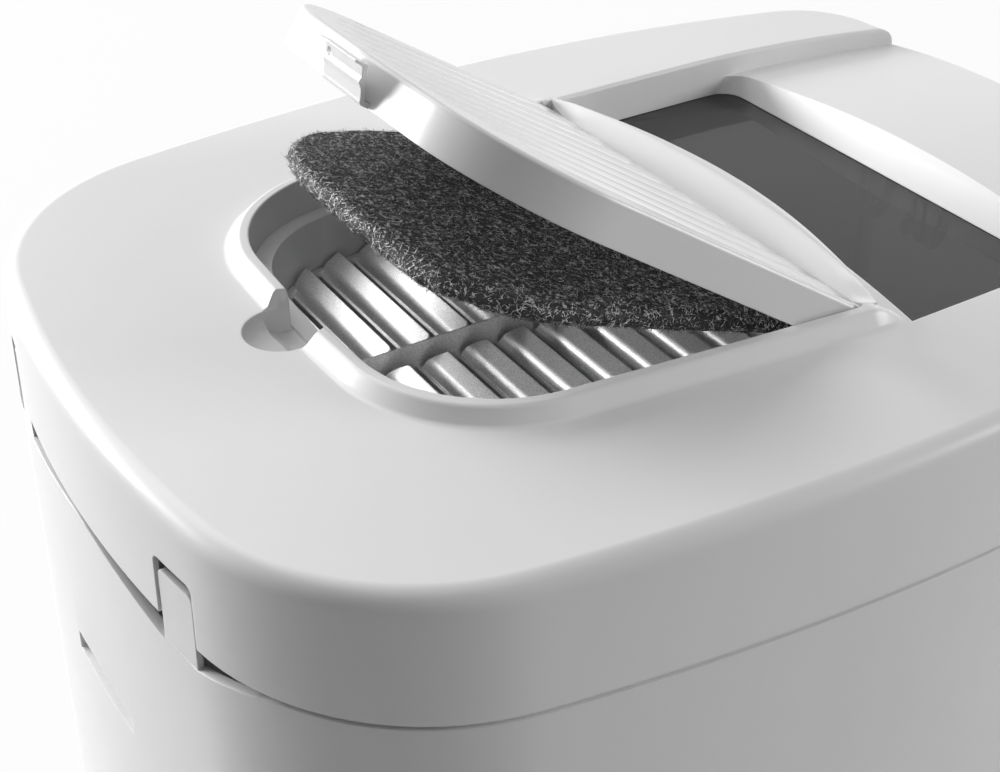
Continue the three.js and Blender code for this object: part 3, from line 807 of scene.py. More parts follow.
class Solid:
    """A closed mesh in millimetres that others are joined with or cut by."""

    def __init__(self, mesh: bpy.types.Mesh) -> None:
        """Hold a closed mesh."""
        self.mesh = mesh

    @classmethod
    def of(cls, vertices: Sequence[Sequence[float]], faces: Sequence[Sequence[int]]) -> Solid:
        """A solid from its corners and faces, turned to face outwards.

        Args:
            vertices: The corners.
            faces: The corners of each face.

        Returns:
            The solid.
        """
        mesh = bpy.data.meshes.new("solid")
        mesh.from_pydata(vertices, [], faces)
        shape = bmesh.new()
        shape.from_mesh(mesh)
        bmesh.ops.recalc_face_normals(shape, faces=shape.faces)
        if shape.calc_volume(signed=True) < 0:
            bmesh.ops.reverse_faces(shape, faces=shape.faces)
        shape.to_mesh(mesh)
        shape.free()
        return cls(mesh)

    @classmethod
    def skin(cls, rings: Sequence[Sequence[Sequence[float]]]) -> Solid:
        """A skin over rings of points of equal length, closed at both ends.

        Args:
            rings: The rings, one after the other.

        Returns:
            The solid.
        """
        count = len(rings[0])
        faces: list[list[int]] = [list(range(count))[::-1]]
        for r in range(len(rings) - 1):
            low = r * count
            for i in range(count):
                j = (i + 1) % count
                faces.append([low + i, low + j, low + count + j, low + count + i])
        faces.append([(len(rings) - 1) * count + i for i in range(count)])
        return cls.of([corner for ring in rings for corner in ring], faces)

    @classmethod
    def loft(cls, rings: Sequence[tuple[Loop, float]]) -> Solid:
        """A skin over level outlines, each with its height."""
        return cls.skin([[(x, y, z) for x, y in loop] for loop, z in rings])

    @classmethod
    def prism(cls, loop: Loop, low: float, high: float) -> Solid:
        """An outline drawn upwards."""
        return cls.loft([(loop, low), (loop, high)])

    @classmethod
    def block(cls, x: Point, y: Point, z: Point) -> Solid:
        """A box between two limits along each axis."""
        return cls.prism([(x[0], y[0]), (x[1], y[0]), (x[1], y[1]), (x[0], y[1])], *z)

    @classmethod
    def along_x(cls, corners: Loop, low: float, high: float) -> Solid:
        """A profile of y and z drawn along X."""
        return cls.skin([[(x, y, z) for y, z in corners] for x in (low, high)])

    @classmethod
    def along_y(cls, corners: Loop, low: float, high: float) -> Solid:
        """A profile of x and z drawn along Y."""
        return cls.skin([[(x, y, z) for x, z in corners] for y in (low, high)])

    @classmethod
    def rod(cls, x: Point, y: float, z: float, radius: float, steps: int = 32) -> Solid:
        """A cylinder along X."""
        return cls.along_x(circle((y, z), radius, steps), *x)

    @classmethod
    def post(cls, x: float, y: float, z: Point, radius: float) -> Solid:
        """A standing cylinder."""
        return cls.prism(circle((x, y), radius), *z)

    def _combine(self, other: Solid, cut: Cut) -> Solid:
        """This solid joined with, cut by or kept within another.

        Args:
            other: The other solid.
            cut: How it acts on this one.

        Returns:
            The new solid.
        """
        pair = [placed("form", one.mesh) for one in (self, other)]
        modifier = pair[0].modifiers.new("cut", "BOOLEAN")
        modifier.operation = cut.value
        modifier.solver = "MANIFOLD"
        modifier.object = pair[1]
        made = evaluated(pair[0])
        for one in pair:
            bpy.data.objects.remove(one)
        return Solid(made)

    def __add__(self, other: Solid) -> Solid:
        """Both solids as one."""
        return self._combine(other, Cut.JOIN)

    def __sub__(self, other: Solid) -> Solid:
        """This solid without the other."""
        return self._combine(other, Cut.REMOVE)

    def __and__(self, other: Solid) -> Solid:
        """What both solids share."""
        return self._combine(other, Cut.KEEP)

    def both_sides(self) -> Solid:
        """This solid and its mirror image across the middle.

        Returns:
            The two as one.
        """
        twin = self.mesh.copy()
        twin.transform(Matrix.Scale(-1, 4, (1, 0, 0)))
        twin.flip_normals()
        return self + Solid(twin)

    def turned(self, y: float, z: float, degrees: float) -> Solid:
        """This solid turned about a line along X.

        Args:
            y: Where the line is.
            z: Its height.
            degrees: The angle, which lifts what is behind the line.

        Returns:
            The turned copy.
        """
        copy = self.mesh.copy()
        turn = Matrix.Rotation(math.radians(degrees), 4, "X")
        copy.transform(Matrix.Translation((0, y, z)) @ turn @ Matrix.Translation((0, -y, -z)))
        return Solid(copy)

    def piece(
        self, name: str, finish: Finish, body: Carrier, *nodes: str, sharp: float = 32.0
    ) -> bpy.types.Object:
        """This solid as a finished piece of the scene.

        Args:
            name: The piece's name.
            finish: What it is dressed with.
            body: The body that it rides on.
            nodes: The frame's nodes that it stands for.
            sharp: Edges that turn by more degrees than this stay sharp.

        Returns:
            The piece.
        """
        mesh = self.mesh.copy()
        mesh.name = name
        mesh.materials.clear()
        mesh.transform(Matrix.Scale(MM, 4))
        mesh.polygons.foreach_set("use_smooth", [True] * len(mesh.polygons))
        mesh.set_sharp_from_angle(angle=math.radians(sharp))
        made = placed(name, mesh)
        weigh = made.modifiers.new("weighted", "WEIGHTED_NORMAL")
        weigh.keep_sharp = True
        weigh.weight = 100
        finish.dress(made)
        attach(made, body.value)
        if nodes:
            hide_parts(*nodes)
        LOG.info("made %s", name)
        return made


# ---------------------------------------------------------------- hood


@dataclass
class Hood:
    """Lift-off hood: roof, deck, filter rim, compartment and finger bowl."""

    body: Body
    mouth: Mouth
    deck_drop: float = 3.6
    deck_sag: float = 9.5
    rail_half: float = 139.0
    rail_straight: float = 105.0
    rail_turn: float = 0.00106
    rail_round: float = 2.2
    window_front: float = 137.0
    window_depth: float = 31.0
    window_corner: float = 14.0
    chamfer_run: float = 8.5
    arch_middle: float = 32.0
    arch_ends: float = 18.0
    crest_width: float = 4.6
    bevel_width: float = 5.5
    ledge_depth: float = 19.0
    ledge_width: float = 9.0
    pocket_depth: float = 51.0
    lip_width: float = 3.0
    lip_thickness: float = 3.0
    bar_lap: float = 1.0
    bar_fade: float = 14.0
    bar_setback: float = 4.5
    bar_tip: float = 1.5
    bar_sink: float = 0.3
    bar_profile: tuple[Point, ...] = (
        (0.0, -7.2), (0.12, -6.6), (0.26, -5.4), (0.4, -3.8), (0.53, -1.9), (0.62, -0.4),
        (0.68, 0.4), (0.73, 0.8), (0.79, 0.8), (0.87, 0.2), (0.94, -1.0), (0.98, -2.6), (1.0, -4.6),
    )
    trough: float = 10.7
    lid_axis: Point = (6.0, 6.0)
    rim_tail: float = 20.0
    rim_overlap: float = 4.5
    bowl_radius: float = 17.5
    bowl_from_hinge: float = 215.0
    bowl_depth: float = 9.0
    notch_depth: float = 20.5
    tab_inner: float = 80.0
    tab_outer: float = 104.0
    tab_height: float = 23.0
    tab_clearance: float = 2.0
    clip_spacing: float = 23.4
    clip_setback: float = 6.0
    clip_drop: float = 55.0
    clip_ring: float = 5.0
    clip_axle: float = 2.1
    clip_half: float = 2.5
    clip_bore: float = 2.4
    rib_places: Point = (11.0, 31.0)
    rib_plate: float = 2.0
    lug_sides: Point = (117.5, 121.5)
    lug_radius: float = 5.5
    lug_bore: float = 2.8
    pin_socket: float = 2.75
    over: float = 20.0

    @property
    def roof_z(self) -> float:
        """Height of the roof."""
        return self.body.roof_z

    @property
    def deck_z(self) -> float:
        """Height of the deck's middle."""
        return self.roof_z - self.deck_drop

    @property
    def recess_z(self) -> float:
        """Height of the window's lower edge."""
        return self.body.crest_z - self.window_depth

    @property
    def ledge_z(self) -> float:
        """Height of the compartment's ledge."""
        return self.body.crest_z - self.ledge_depth

    @property
    def lip_z(self) -> float:
        """Height of the lip that the grille lies on."""
        return self.body.crest_z - self.pocket_depth

    @property
    def lid_line(self) -> Point:
        """The line that the lid turns about, as y and z."""
        return self.body.hinge_y + self.lid_axis[0], self.body.crest_z - self.lid_axis[1]

    @property
    def clip_line(self) -> Point:
        """The line of the window clips' axles, as y and z."""
        y = self.body.hinge_y - self.window_front - self.clip_setback
        return y, self.body.crest_z - self.clip_drop

    def arch(self, x: float) -> float:
        """The roof's front edge before the hinge line."""
        return self.arch_middle - (self.arch_middle - self.arch_ends) * (x / self.rail_half) ** 2

    def sunken(self, grow: float) -> Loop:
        """Plan of the lowered part between the rails, from the roof's arch forward.

        Args:
            grow: How far the plan is moved out.

        Returns:
            Its points, once round.
        """
        hinge_y, arch_steps, rail_steps = self.body.hinge_y, 40, 20
        places = [self.rail_half * (1 - 2 * i / arch_steps) for i in range(arch_steps + 1)]
        arch = [(x * (1 + grow / self.rail_half), hinge_y - self.arch(x) + grow) for x in places]
        beyond = hinge_y - self.body.front_y + 2 * self.over
        rail: Loop = []
        for i in range(rail_steps + 1):
            before = self.rail_straight + (beyond - self.rail_straight) * i / rail_steps
            half = self.rail_half - self.rail_turn * (before - self.rail_straight) ** 2
            rail.append((-half - grow, hinge_y - before))
        return [*arch, *rail, *[(-x, y) for x, y in rail[::-1]]]

    def window_plan(self, front: float, grow: float) -> Loop:
        """Plan of the window, its front edge at a distance before the hinge line.

        Args:
            front: That distance.
            grow: How far the plan is moved out.

        Returns:
            Its points, once round.
        """
        half, rear = self.rail_half + grow, self.body.hinge_y - self.arch_ends / 2
        edge = self.body.hinge_y - front - grow
        return gate((half, -half), rear, edge, self.window_corner + grow)

    def cap(self, inset: float, top: float, low: float) -> Solid:
        """Skirt and rounded roof edge under a flat top.

        Args:
            inset: How far inside the skin.
            top: Height of the flat top.
            low: Its underside.

        Returns:
            The form.
        """
        radius = self.body.roof_round - inset / 2
        rings = [(self.body.plan(inset - self.body.skirt_draft), low)]
        for angle in quarter_turn(10):
            out = inset + radius * (1 - math.cos(angle))
            rings.append((self.body.plan(out), top - radius * (1 - math.sin(angle))))
        return Solid.loft(rings)

    @staticmethod
    def flared(outline: Callable[[float], Loop], low: float, top: float, radius: float) -> Solid:
        """A cutter that rounds the upper edge of what it cuts.

        Args:
            outline: Makes the cutter's plan, grown by a distance.
            low: Its underside.
            top: Height of the surface that it cuts into.
            radius: Of the rounded edge.

        Returns:
            The cutter.
        """
        rings = [(outline(0.0), low)]
        for angle in quarter_turn(6):
            grown = outline(radius * (1 - math.cos(angle)))
            rings.append((grown, top - radius + radius * math.sin(angle)))
        rings.append((outline(radius), top + 30))
        return Solid.loft(rings)

    def crown(self, drop: float) -> Solid:
        """The crowned deck as a slab, its top lowered by drop.

        Args:
            drop: How far it is lowered.

        Returns:
            The slab.
        """
        half, steps = self.body.half_width, 48
        low, front = self.body.skirt_low - self.over, self.body.front_y - self.over
        places = [half * (1 - 2 * i / steps) for i in range(steps + 1)]
        top = [(x, self.deck_z - drop - self.deck_sag * (x / self.rail_half) ** 2) for x in places]
        return Solid.along_y([(-half, low), (half, low), *top], front, self.body.hinge_y)

    def roof_form(self, inset: float) -> Solid:
        """The roof's outer form, or with inset its inner one: high at the back, low on the deck.

        Args:
            inset: How far inside the skin.

        Returns:
            The form.
        """
        low = self.body.skirt_low - (1 if inset > 0 else 0)
        floor = self.recess_z + (0.5 if inset > 0 else 0)
        top = self.body.crest_z + self.over
        high = self.cap(inset, self.roof_z - inset, low)
        if inset > 0:
            high -= Solid.prism(self.sunken(inset), floor, top)
        else:
            high -= self.flared(self.sunken, floor, self.roof_z, self.rail_round)
        run, full = 0.8 * self.chamfer_run, self.chamfer_run + 1
        slope = [(0.0, floor - 5), (0.0, floor), (run, self.deck_z - 4), (full, self.deck_z)]
        slope.append((full, top))
        frustum = Solid.loft(
            [(self.window_plan(self.window_front + out, inset), z) for out, z in slope]
        )
        deck = self.cap(inset, self.deck_z - inset, low) & self.crown(inset)
        deck &= Solid.prism(self.sunken(inset + 0.4), floor - 3, top)
        return high + (deck - frustum)

    def rim(self) -> Solid:
        """The raised rim round the compartment: soft outside, flat crest.

        Returns:
            The rim with its two front ends.
        """
        rings = [(self.mouth.outline(-out), self.roof_z + up) for out, up in self.rim_profile()]
        rim = Solid.loft(rings)
        half = self.mouth.front_half + 30
        front = (self.body.front_y, self.body.hinge_y + self.rim_overlap - 0.5)
        rim -= Solid.block((-half, half), front, (self.roof_z - 0.01, self.body.crest_z + 1))
        return rim + self.rim_ends()

    def rim_profile(self) -> list[Point]:
        """Section of the rim: how far out from the opening, and how high over the roof.

        Returns:
            The section, from its foot to its crest.
        """
        crest, outer = self.crest_width, self.crest_width + self.bevel_width
        foot = [(outer + 4, -self.body.wall), (outer + 2.4, 0.0), (outer + 0.8, 0.35)]
        shoulder = [(outer - 0.8, 1.2), (crest + 1.4, 5.9), (crest + 0.5, 6.8)]
        return [*foot, *shoulder, (crest - 0.8, self.body.rim_rise)]

    def bar(self) -> Solid:
        """The lens-shaped bead between the lid and the roof's arch.

        It slopes up from the lid to a small crest with a soft front, and is hollowed where the
        lid's lip turns down.

        Returns:
            The bead.
        """
        half, steps, level = self.mouth.front_half + self.bar_lap, 48, self.body.crest_z
        edge, rear = self.arch(half), self.body.hinge_y - self.bar_setback
        tip, sink = self.bar_tip, self.bar_sink
        stretch = (self.arch_middle - self.bar_setback - tip) / (self.arch_middle - edge)
        low = self.roof_z - self.body.wall
        rings = []
        for i in range(steps + 1):
            x = half * (2 * i / steps - 1)
            width = tip + (self.arch(x) - edge) * stretch
            full = min(1.0, (half - abs(x)) / self.bar_fade)
            ring = [
                (x, rear - width * share, level + (up + sink) * full - sink)
                for share, up in self.bar_profile
            ]
            rings.append([(x, rear, low), *ring, (x, rear - width, low)])
        reach = self.mouth.front_half - 1
        return Solid.skin(rings) - Solid.rod((-reach, reach), *self.lid_line, self.trough, 64)

    def rim_ends(self) -> Solid:
        """The rim's two front ends, which sink into the roof beside the bar.

        Returns:
            Both ends.
        """
        steps = 14
        rings = []
        for i in range(steps + 1):
            before = self.rim_tail * i / steps - self.rim_overlap
            share = max(0.0, before) / (self.rim_tail - self.rim_overlap)
            fade = max(0.0, math.cos(math.pi / 2 * share)) ** 1.3
            wall = self.mouth.side_x(-before, 0.0)
            ring = [(wall - self.bar_lap, self.body.rim_rise * fade)]
            for out, up in self.rim_profile()[::-1]:
                ring.append((wall + out * (1 - 0.25 * share), up * fade if up > 0 else up))
            ring.append((wall - self.bar_lap, -self.body.wall))
            rings.append([(x, self.body.hinge_y - before, self.roof_z + up) for x, up in ring])
        return Solid.skin(rings).both_sides()

    def tub(self) -> Solid:
        """Walls, ledge and lip of the compartment, still full.

        Returns:
            The walls as one block.
        """
        wall, low = self.body.wall, self.lip_z - self.lip_thickness
        upper = Solid.prism(self.mouth.outline(-wall), self.ledge_z - wall, self.roof_z)
        lower = Solid.prism(self.mouth.outline(self.ledge_width - wall), low, self.ledge_z)
        return upper + lower - Solid.prism(self.sunken(-wall), 0.0, self.body.crest_z + self.over)

    def tub_room(self) -> Solid:
        """The space in the compartment.

        Returns:
            The space, open upwards.
        """
        inside, top = self.mouth.outline, self.body.crest_z
        room = self.flared(lambda grow: inside(-grow), self.ledge_z, top, 0.8)
        room += Solid.prism(inside(self.ledge_width), self.lip_z, self.ledge_z + 1)
        lip, low = self.ledge_width + self.lip_width, self.lip_z - self.lip_thickness - 5
        return room + Solid.prism(inside(lip), low, self.lip_z + 1)

    def bowl(self) -> Solid:
        """The finger bowl's space, with the gap that it opens in the rim.

        Returns:
            The space, open upwards.
        """
        y, roof, crest = self.body.hinge_y + self.bowl_from_hinge, self.roof_z, self.body.crest_z
        floor, top, radius = roof - self.bowl_depth, crest + 5, self.bowl_radius
        sizes = [(0.4, floor)]
        for angle in quarter_turn(12)[1:]:
            height = floor + self.bowl_depth * 0.8 * (1 - math.cos(angle))
            sizes.append((radius * math.sin(angle), height))
        sizes += [(radius, roof - 1), (radius + 0.3, roof - 0.3), (radius + 1, roof)]
        sizes += [(radius + 4.2, crest), (radius + 4.2, top)]
        gap_y, low = self.mouth.back_y - 1.5, crest - self.notch_depth
        ramp = [(gap_y, low), (y - 4, low), (y + 2, floor + 1), (y + 2, top), (gap_y, top)]
        bowl = Solid.loft([(circle((0.0, y), size, 64), z) for size, z in sizes])
        return bowl + Solid.along_x(ramp, -radius, radius)

    def bowl_seat(self) -> Solid:
        """Wall under the finger bowl.

        Returns:
            The wall as one block.
        """
        y, reach = self.body.hinge_y + self.bowl_from_hinge, self.bowl_radius + self.body.wall
        height = (self.body.crest_z - self.notch_depth - self.body.wall, self.roof_z - 2)
        link = Solid.block((-reach, reach), (self.body.hinge_y + self.mouth.length, y), height)
        return Solid.post(0.0, y, height, reach) + link

    def notches(self) -> Solid:
        """Spaces in the skirt for the tray's tabs.

        Returns:
            Both spaces.
        """
        grown, low = self.tab_clearance, self.body.skirt_low
        top = self.body.seam_at(self.body.back_y) + self.tab_height + 3 * grown
        corners = gate((self.tab_inner - grown, self.tab_outer + grown), low, top, 4.0, 8)
        return Solid.along_y(corners, self.body.back_y - 60, self.body.back_y + 10).both_sides()

    def clip_ribs(self) -> Solid:
        """Rib pairs under the deck, each pair with the axle of one window clip.

        Returns:
            Both pairs.
        """
        y, z = self.clip_line
        low, top, half = z - self.clip_ring, self.deck_z - self.body.wall - 0.5, self.rib_plate / 2
        profile = [(y - 14, top), (y - 9, low + 6), (y - 4, low), (y + 3, low), (y + 4, low + 9)]
        profile += [(y - 3, low + 13), (y - 3, top)]
        inner, outer = (Solid.along_x(profile, x - half, x + half) for x in self.rib_places)
        return (inner + outer + Solid.rod(self.rib_places, y, z, self.clip_axle)).both_sides()

    def lugs(self) -> Solid:
        """Lugs behind the front skirt that carry the flap.

        Returns:
            Both lugs.
        """
        (inner, outer), reach = self.lug_sides, self.lug_radius
        y, z = self.body.flap_axis
        block = Solid.block(self.lug_sides, (y - reach, y + reach), (z, self.body.crest_z))
        lug = (block & self.roof_form(0.0)) + Solid.rod(self.lug_sides, y, z, reach)
        return (lug - Solid.rod((inner - 1, outer + 1), y, z, self.lug_bore)).both_sides()

    def shell(self) -> Solid:
        """The whole moulded hood.

        Returns:
            The hood as one solid.
        """
        outer = self.roof_form(0.0)
        shell = (outer & self.body.above_seam(0.0)) + self.rim()
        shell -= Solid.prism(self.sunken(0.0), self.recess_z, self.body.crest_z + self.over) - outer
        shell -= self.roof_form(self.body.wall)
        shell = shell + self.tub() + self.bar() + self.bowl_seat()
        reach = (self.mouth.front_half - 6, self.mouth.front_half + 3)
        sockets = Solid.rod(reach, *self.lid_line, self.pin_socket).both_sides()
        shell = shell - self.tub_room() - self.bowl() - self.notches() - sockets
        return shell + self.clip_ribs() + self.lugs()

    def build(self) -> None:
        """Make the hood's pieces."""
        self.shell().piece("hood_shell_moulded", WHITE_SHELL, Carrier.HOOD, "hood_shell")
        for side in Side:
            name, node = f"window_clip_moulded_{side.word}", f"window_clip_{side.word}"
            self.clip(side).piece(name, PALE_CLIP, Carrier.HOOD, node)

    def clip(self, side: Side) -> Solid:
        """The clip that holds the window under the deck.

        Args:
            side: The side that it is on.

        Returns:
            The clip.
        """
        x, half = side.value * self.clip_spacing, self.clip_half
        y, z = self.clip_line
        width = (x - half, x + half)
        arm = Solid.block(width, (y + 1, y + self.clip_ring), (z, self.recess_z - 2.6))
        clip = arm + Solid.rod(width, y, z, self.clip_ring)
        return clip - Solid.rod((x - half - 1, x + half + 1), y, z, self.clip_bore)


# ---------------------------------------------------------------- tray


@dataclass
class Tray:
    """Deep tray with its seam lip, tabs, dips, pull pocket and doorway."""

    body: Body
    hood: Hood
    wall: float = 2.6
    lift: float = 3.0
    bottom_round: float = 14.0
    floor: float = 3.4
    seam_groove: float = 2.0
    seam_depth: float = 1.4
    lip_rise: float = 5.0
    lip_drop: float = 12.0
    lip_wall: float = 1.8
    lip_play: float = 0.4
    tab_sink: float = 0.6
    dip_depth: float = 12.0
    dip_middle: float = 3.0
    dip_end: float = 168.0
    pocket_half: float = 33.5
    pocket_ledge: float = 245.0
    pocket_tall: float = 14.0
    pocket_sink: float = 4.5
    doorway_half: float = 118.0
    sill_height: float = 125.0
    doorway_corner: float = 38.0
    doorway_bead: float = 4.0
    foot_radius: float = 15.0
    foot_top: float = 5.2
    foot_place: float = 150.0
    feet_in: Point = (52.0, 68.0)
    seat: float = 0.3

    @property
    def seam_back(self) -> float:
        """Height of the seam at the back end."""
        return self.body.seam_at(self.body.back_y)

    @property
    def top(self) -> float:
        """A height over everything on the tray."""
        return self.seam_back + 30

    def form(self, inset: float, low: float) -> Solid:
        """The tray's outside, or with inset a form inside it, drawn on above the seam.

        Args:
            inset: How far inside the skin.
            low: Its underside.

        Returns:
            The form.
        """
        radius = self.bottom_round - inset
        rings = []
        for angle in quarter_turn(8):
            z = low + radius * (1 - math.cos(angle))
            within = self.body.skin_inset(z) + inset + radius * (1 - math.sin(angle))
            rings.append((self.body.plan(within), z))
        for z in (self.body.skirt_low, self.top):
            rings.append((self.body.plan(self.body.skin_inset(z) + inset), z))
        return Solid.loft(rings)

    def belt(self, inset: float, low: float, high: float) -> Solid:
        """A form inside the tray's skin, between two distances above the seam."""
        form = self.form(inset, self.lift + self.floor)
        return form & self.body.above_seam(low) & self.body.under_seam(high)

    def walls(self) -> Solid:
        """Walls and floor, the seam's groove and the lip inside the hood.

        Returns:
            The tray before its openings.
        """
        face = self.body.wall + self.lip_play
        locating = self.belt(face - 1, -self.lip_drop, -self.seam_groove - 2)
        locating += self.belt(face, -self.seam_groove - 3, self.lip_rise)
        locating -= self.form(face + self.lip_wall, self.lift + self.floor)
        walls = self.form(0.0, self.lift) & self.body.under_seam(-self.seam_groove)
        walls += self.belt(self.seam_depth, -self.seam_groove - 2, -self.seat)
        return walls - self.form(self.wall, self.lift + self.floor) + locating

    def scoop(self) -> Solid:
        """The dips in the rim beside the tabs.

        Returns:
            The space of both dips.
        """
        steps, seam, top = 24, self.seam_back, self.seam_back + self.lip_rise + 1
        inner, outer = self.hood.tab_inner, self.hood.tab_outer
        dip = [
            (outer + (self.dip_end - outer) * t, seam - self.dip_depth * (1 - t) ** 1.4)
            for t in (i / steps for i in range(steps + 1))
        ]
        middle = [
            (inner * t, seam - self.dip_middle - (self.dip_depth - self.dip_middle) * t**1.3)
            for t in (i / 12 for i in range(13))
        ]
        corners = [*middle, *dip, (self.dip_end, top), (0.0, top)]
        return Solid.along_y(corners, self.body.back_y - 70, self.body.back_y + 10).both_sides()

    def tabs(self) -> Solid:
        """The two tabs that stand up into the hood's notches.

        Returns:
            Both tabs.
        """
        low, high = self.seam_back - self.dip_depth - 6, self.seam_back + self.hood.tab_height
        floor = self.lift + self.floor
        band = self.form(self.tab_sink, floor) - self.form(self.tab_sink + self.wall, floor)
        corners = gate((self.hood.tab_inner, self.hood.tab_outer), low, high, 3.0, 8)
        tabs = Solid.along_y(corners, self.body.back_y - 60, self.body.back_y + 10).both_sides()
        return tabs & band

    def pocket(self) -> Solid:
        """The space of the pull pocket over its level ledge.

        Returns:
            The space.
        """
        ledge, rise = self.pocket_ledge, self.pocket_tall + 14
        face = self.body.back_y - self.body.skin_inset(ledge)
        profile = [(face + 5, ledge + rise), (face - self.pocket_sink, ledge), (face + 5, ledge)]
        return Solid.along_x(profile, -self.pocket_half, self.pocket_half)

    def pocket_backing(self) -> Solid:
        """Wall behind the pull pocket.

        Returns:
            The wall.
        """
        ledge, rise = self.pocket_ledge, self.pocket_tall + 8
        face = self.body.back_y - self.body.skin_inset(ledge + rise)
        inner, low, half = face - self.pocket_sink - self.wall, ledge - self.wall, self.pocket_half
        profile = [(face - 1, ledge + rise), (inner, ledge + 3), (inner, low), (face - 1, low)]
        return Solid.along_x(profile, -half - self.wall, half + self.wall)

    def doorway(self, grow: float) -> Loop:
        """Outline of the doorway, open upwards."""
        half, low = self.doorway_half + grow, self.sill_height - grow
        return gate((half, -half), self.top, low, self.doorway_corner + grow, 16)

    def doorway_frame(self) -> Solid:
        """The bead round the doorway.

        Returns:
            The bead.
        """
        front, rear = self.body.front_y, self.body.front_y + 10
        bead = Solid.along_y(self.doorway(self.doorway_bead), front - 5, rear)
        skin = self.form(0.0, self.lift) & self.body.under_seam(-self.seam_groove)
        return (bead & skin) - Solid.along_y(self.doorway(0.0), front - 10, rear + 5)

    def foot_places(self) -> list[Point]:
        """Where the four feet stand, right before left and front before rear."""
        rear, front = self.body.back_y - self.feet_in[1], self.body.front_y + self.feet_in[0]
        return [(side.value * self.foot_place, y) for y in (front, rear) for side in Side]

    def build(self) -> None:
        """Make the tray and its feet."""
        shell = self.walls() - self.scoop() + self.tabs() + self.pocket_backing() - self.pocket()
        front = self.body.front_y
        opening = Solid.along_y(self.doorway(0.0), front - 10, front + 60)
        shell = shell - opening + self.doorway_frame()
        socket = (-1.0, self.foot_top + self.seat)
        for x, y in self.foot_places():
            shell -= Solid.post(x, y, socket, self.foot_radius + self.seat)
        shell.piece("tray_moulded", WHITE_TRAY, Carrier.TRAY, "base_tray")
        words = [f"{end}_{side.word}" for end in ("front", "rear") for side in Side]
        for word, (x, y) in zip(words, self.foot_places()):
            foot = self.foot(x, y)
            foot.piece(f"rubber_foot_{word}", FOOT_RUBBER, Carrier.TRAY, f"foot_{word}")

    def foot(self, x: float, y: float) -> Solid:
        """A round foot with a soft lower edge and a hollow middle.

        Args:
            x: Where it stands.
            y: Where it stands.

        Returns:
            The foot.
        """
        radius = self.foot_radius
        outside = [(radius - 3.6, 0.0), (radius - 1.2, 0.0), (radius - 0.35, 0.4), (radius, 1.2)]
        hollow = [(radius - 3.99, -0.1), (radius - 4.99, 0.9)]
        foot, room = (
            Solid.loft([(circle((x, y), size), z) for size, z in sizes])
            for sizes in ([*outside, (radius, self.foot_top)], hollow)
        )
        return foot - room


# ---------------------------------------------------------------- filter lid and latch


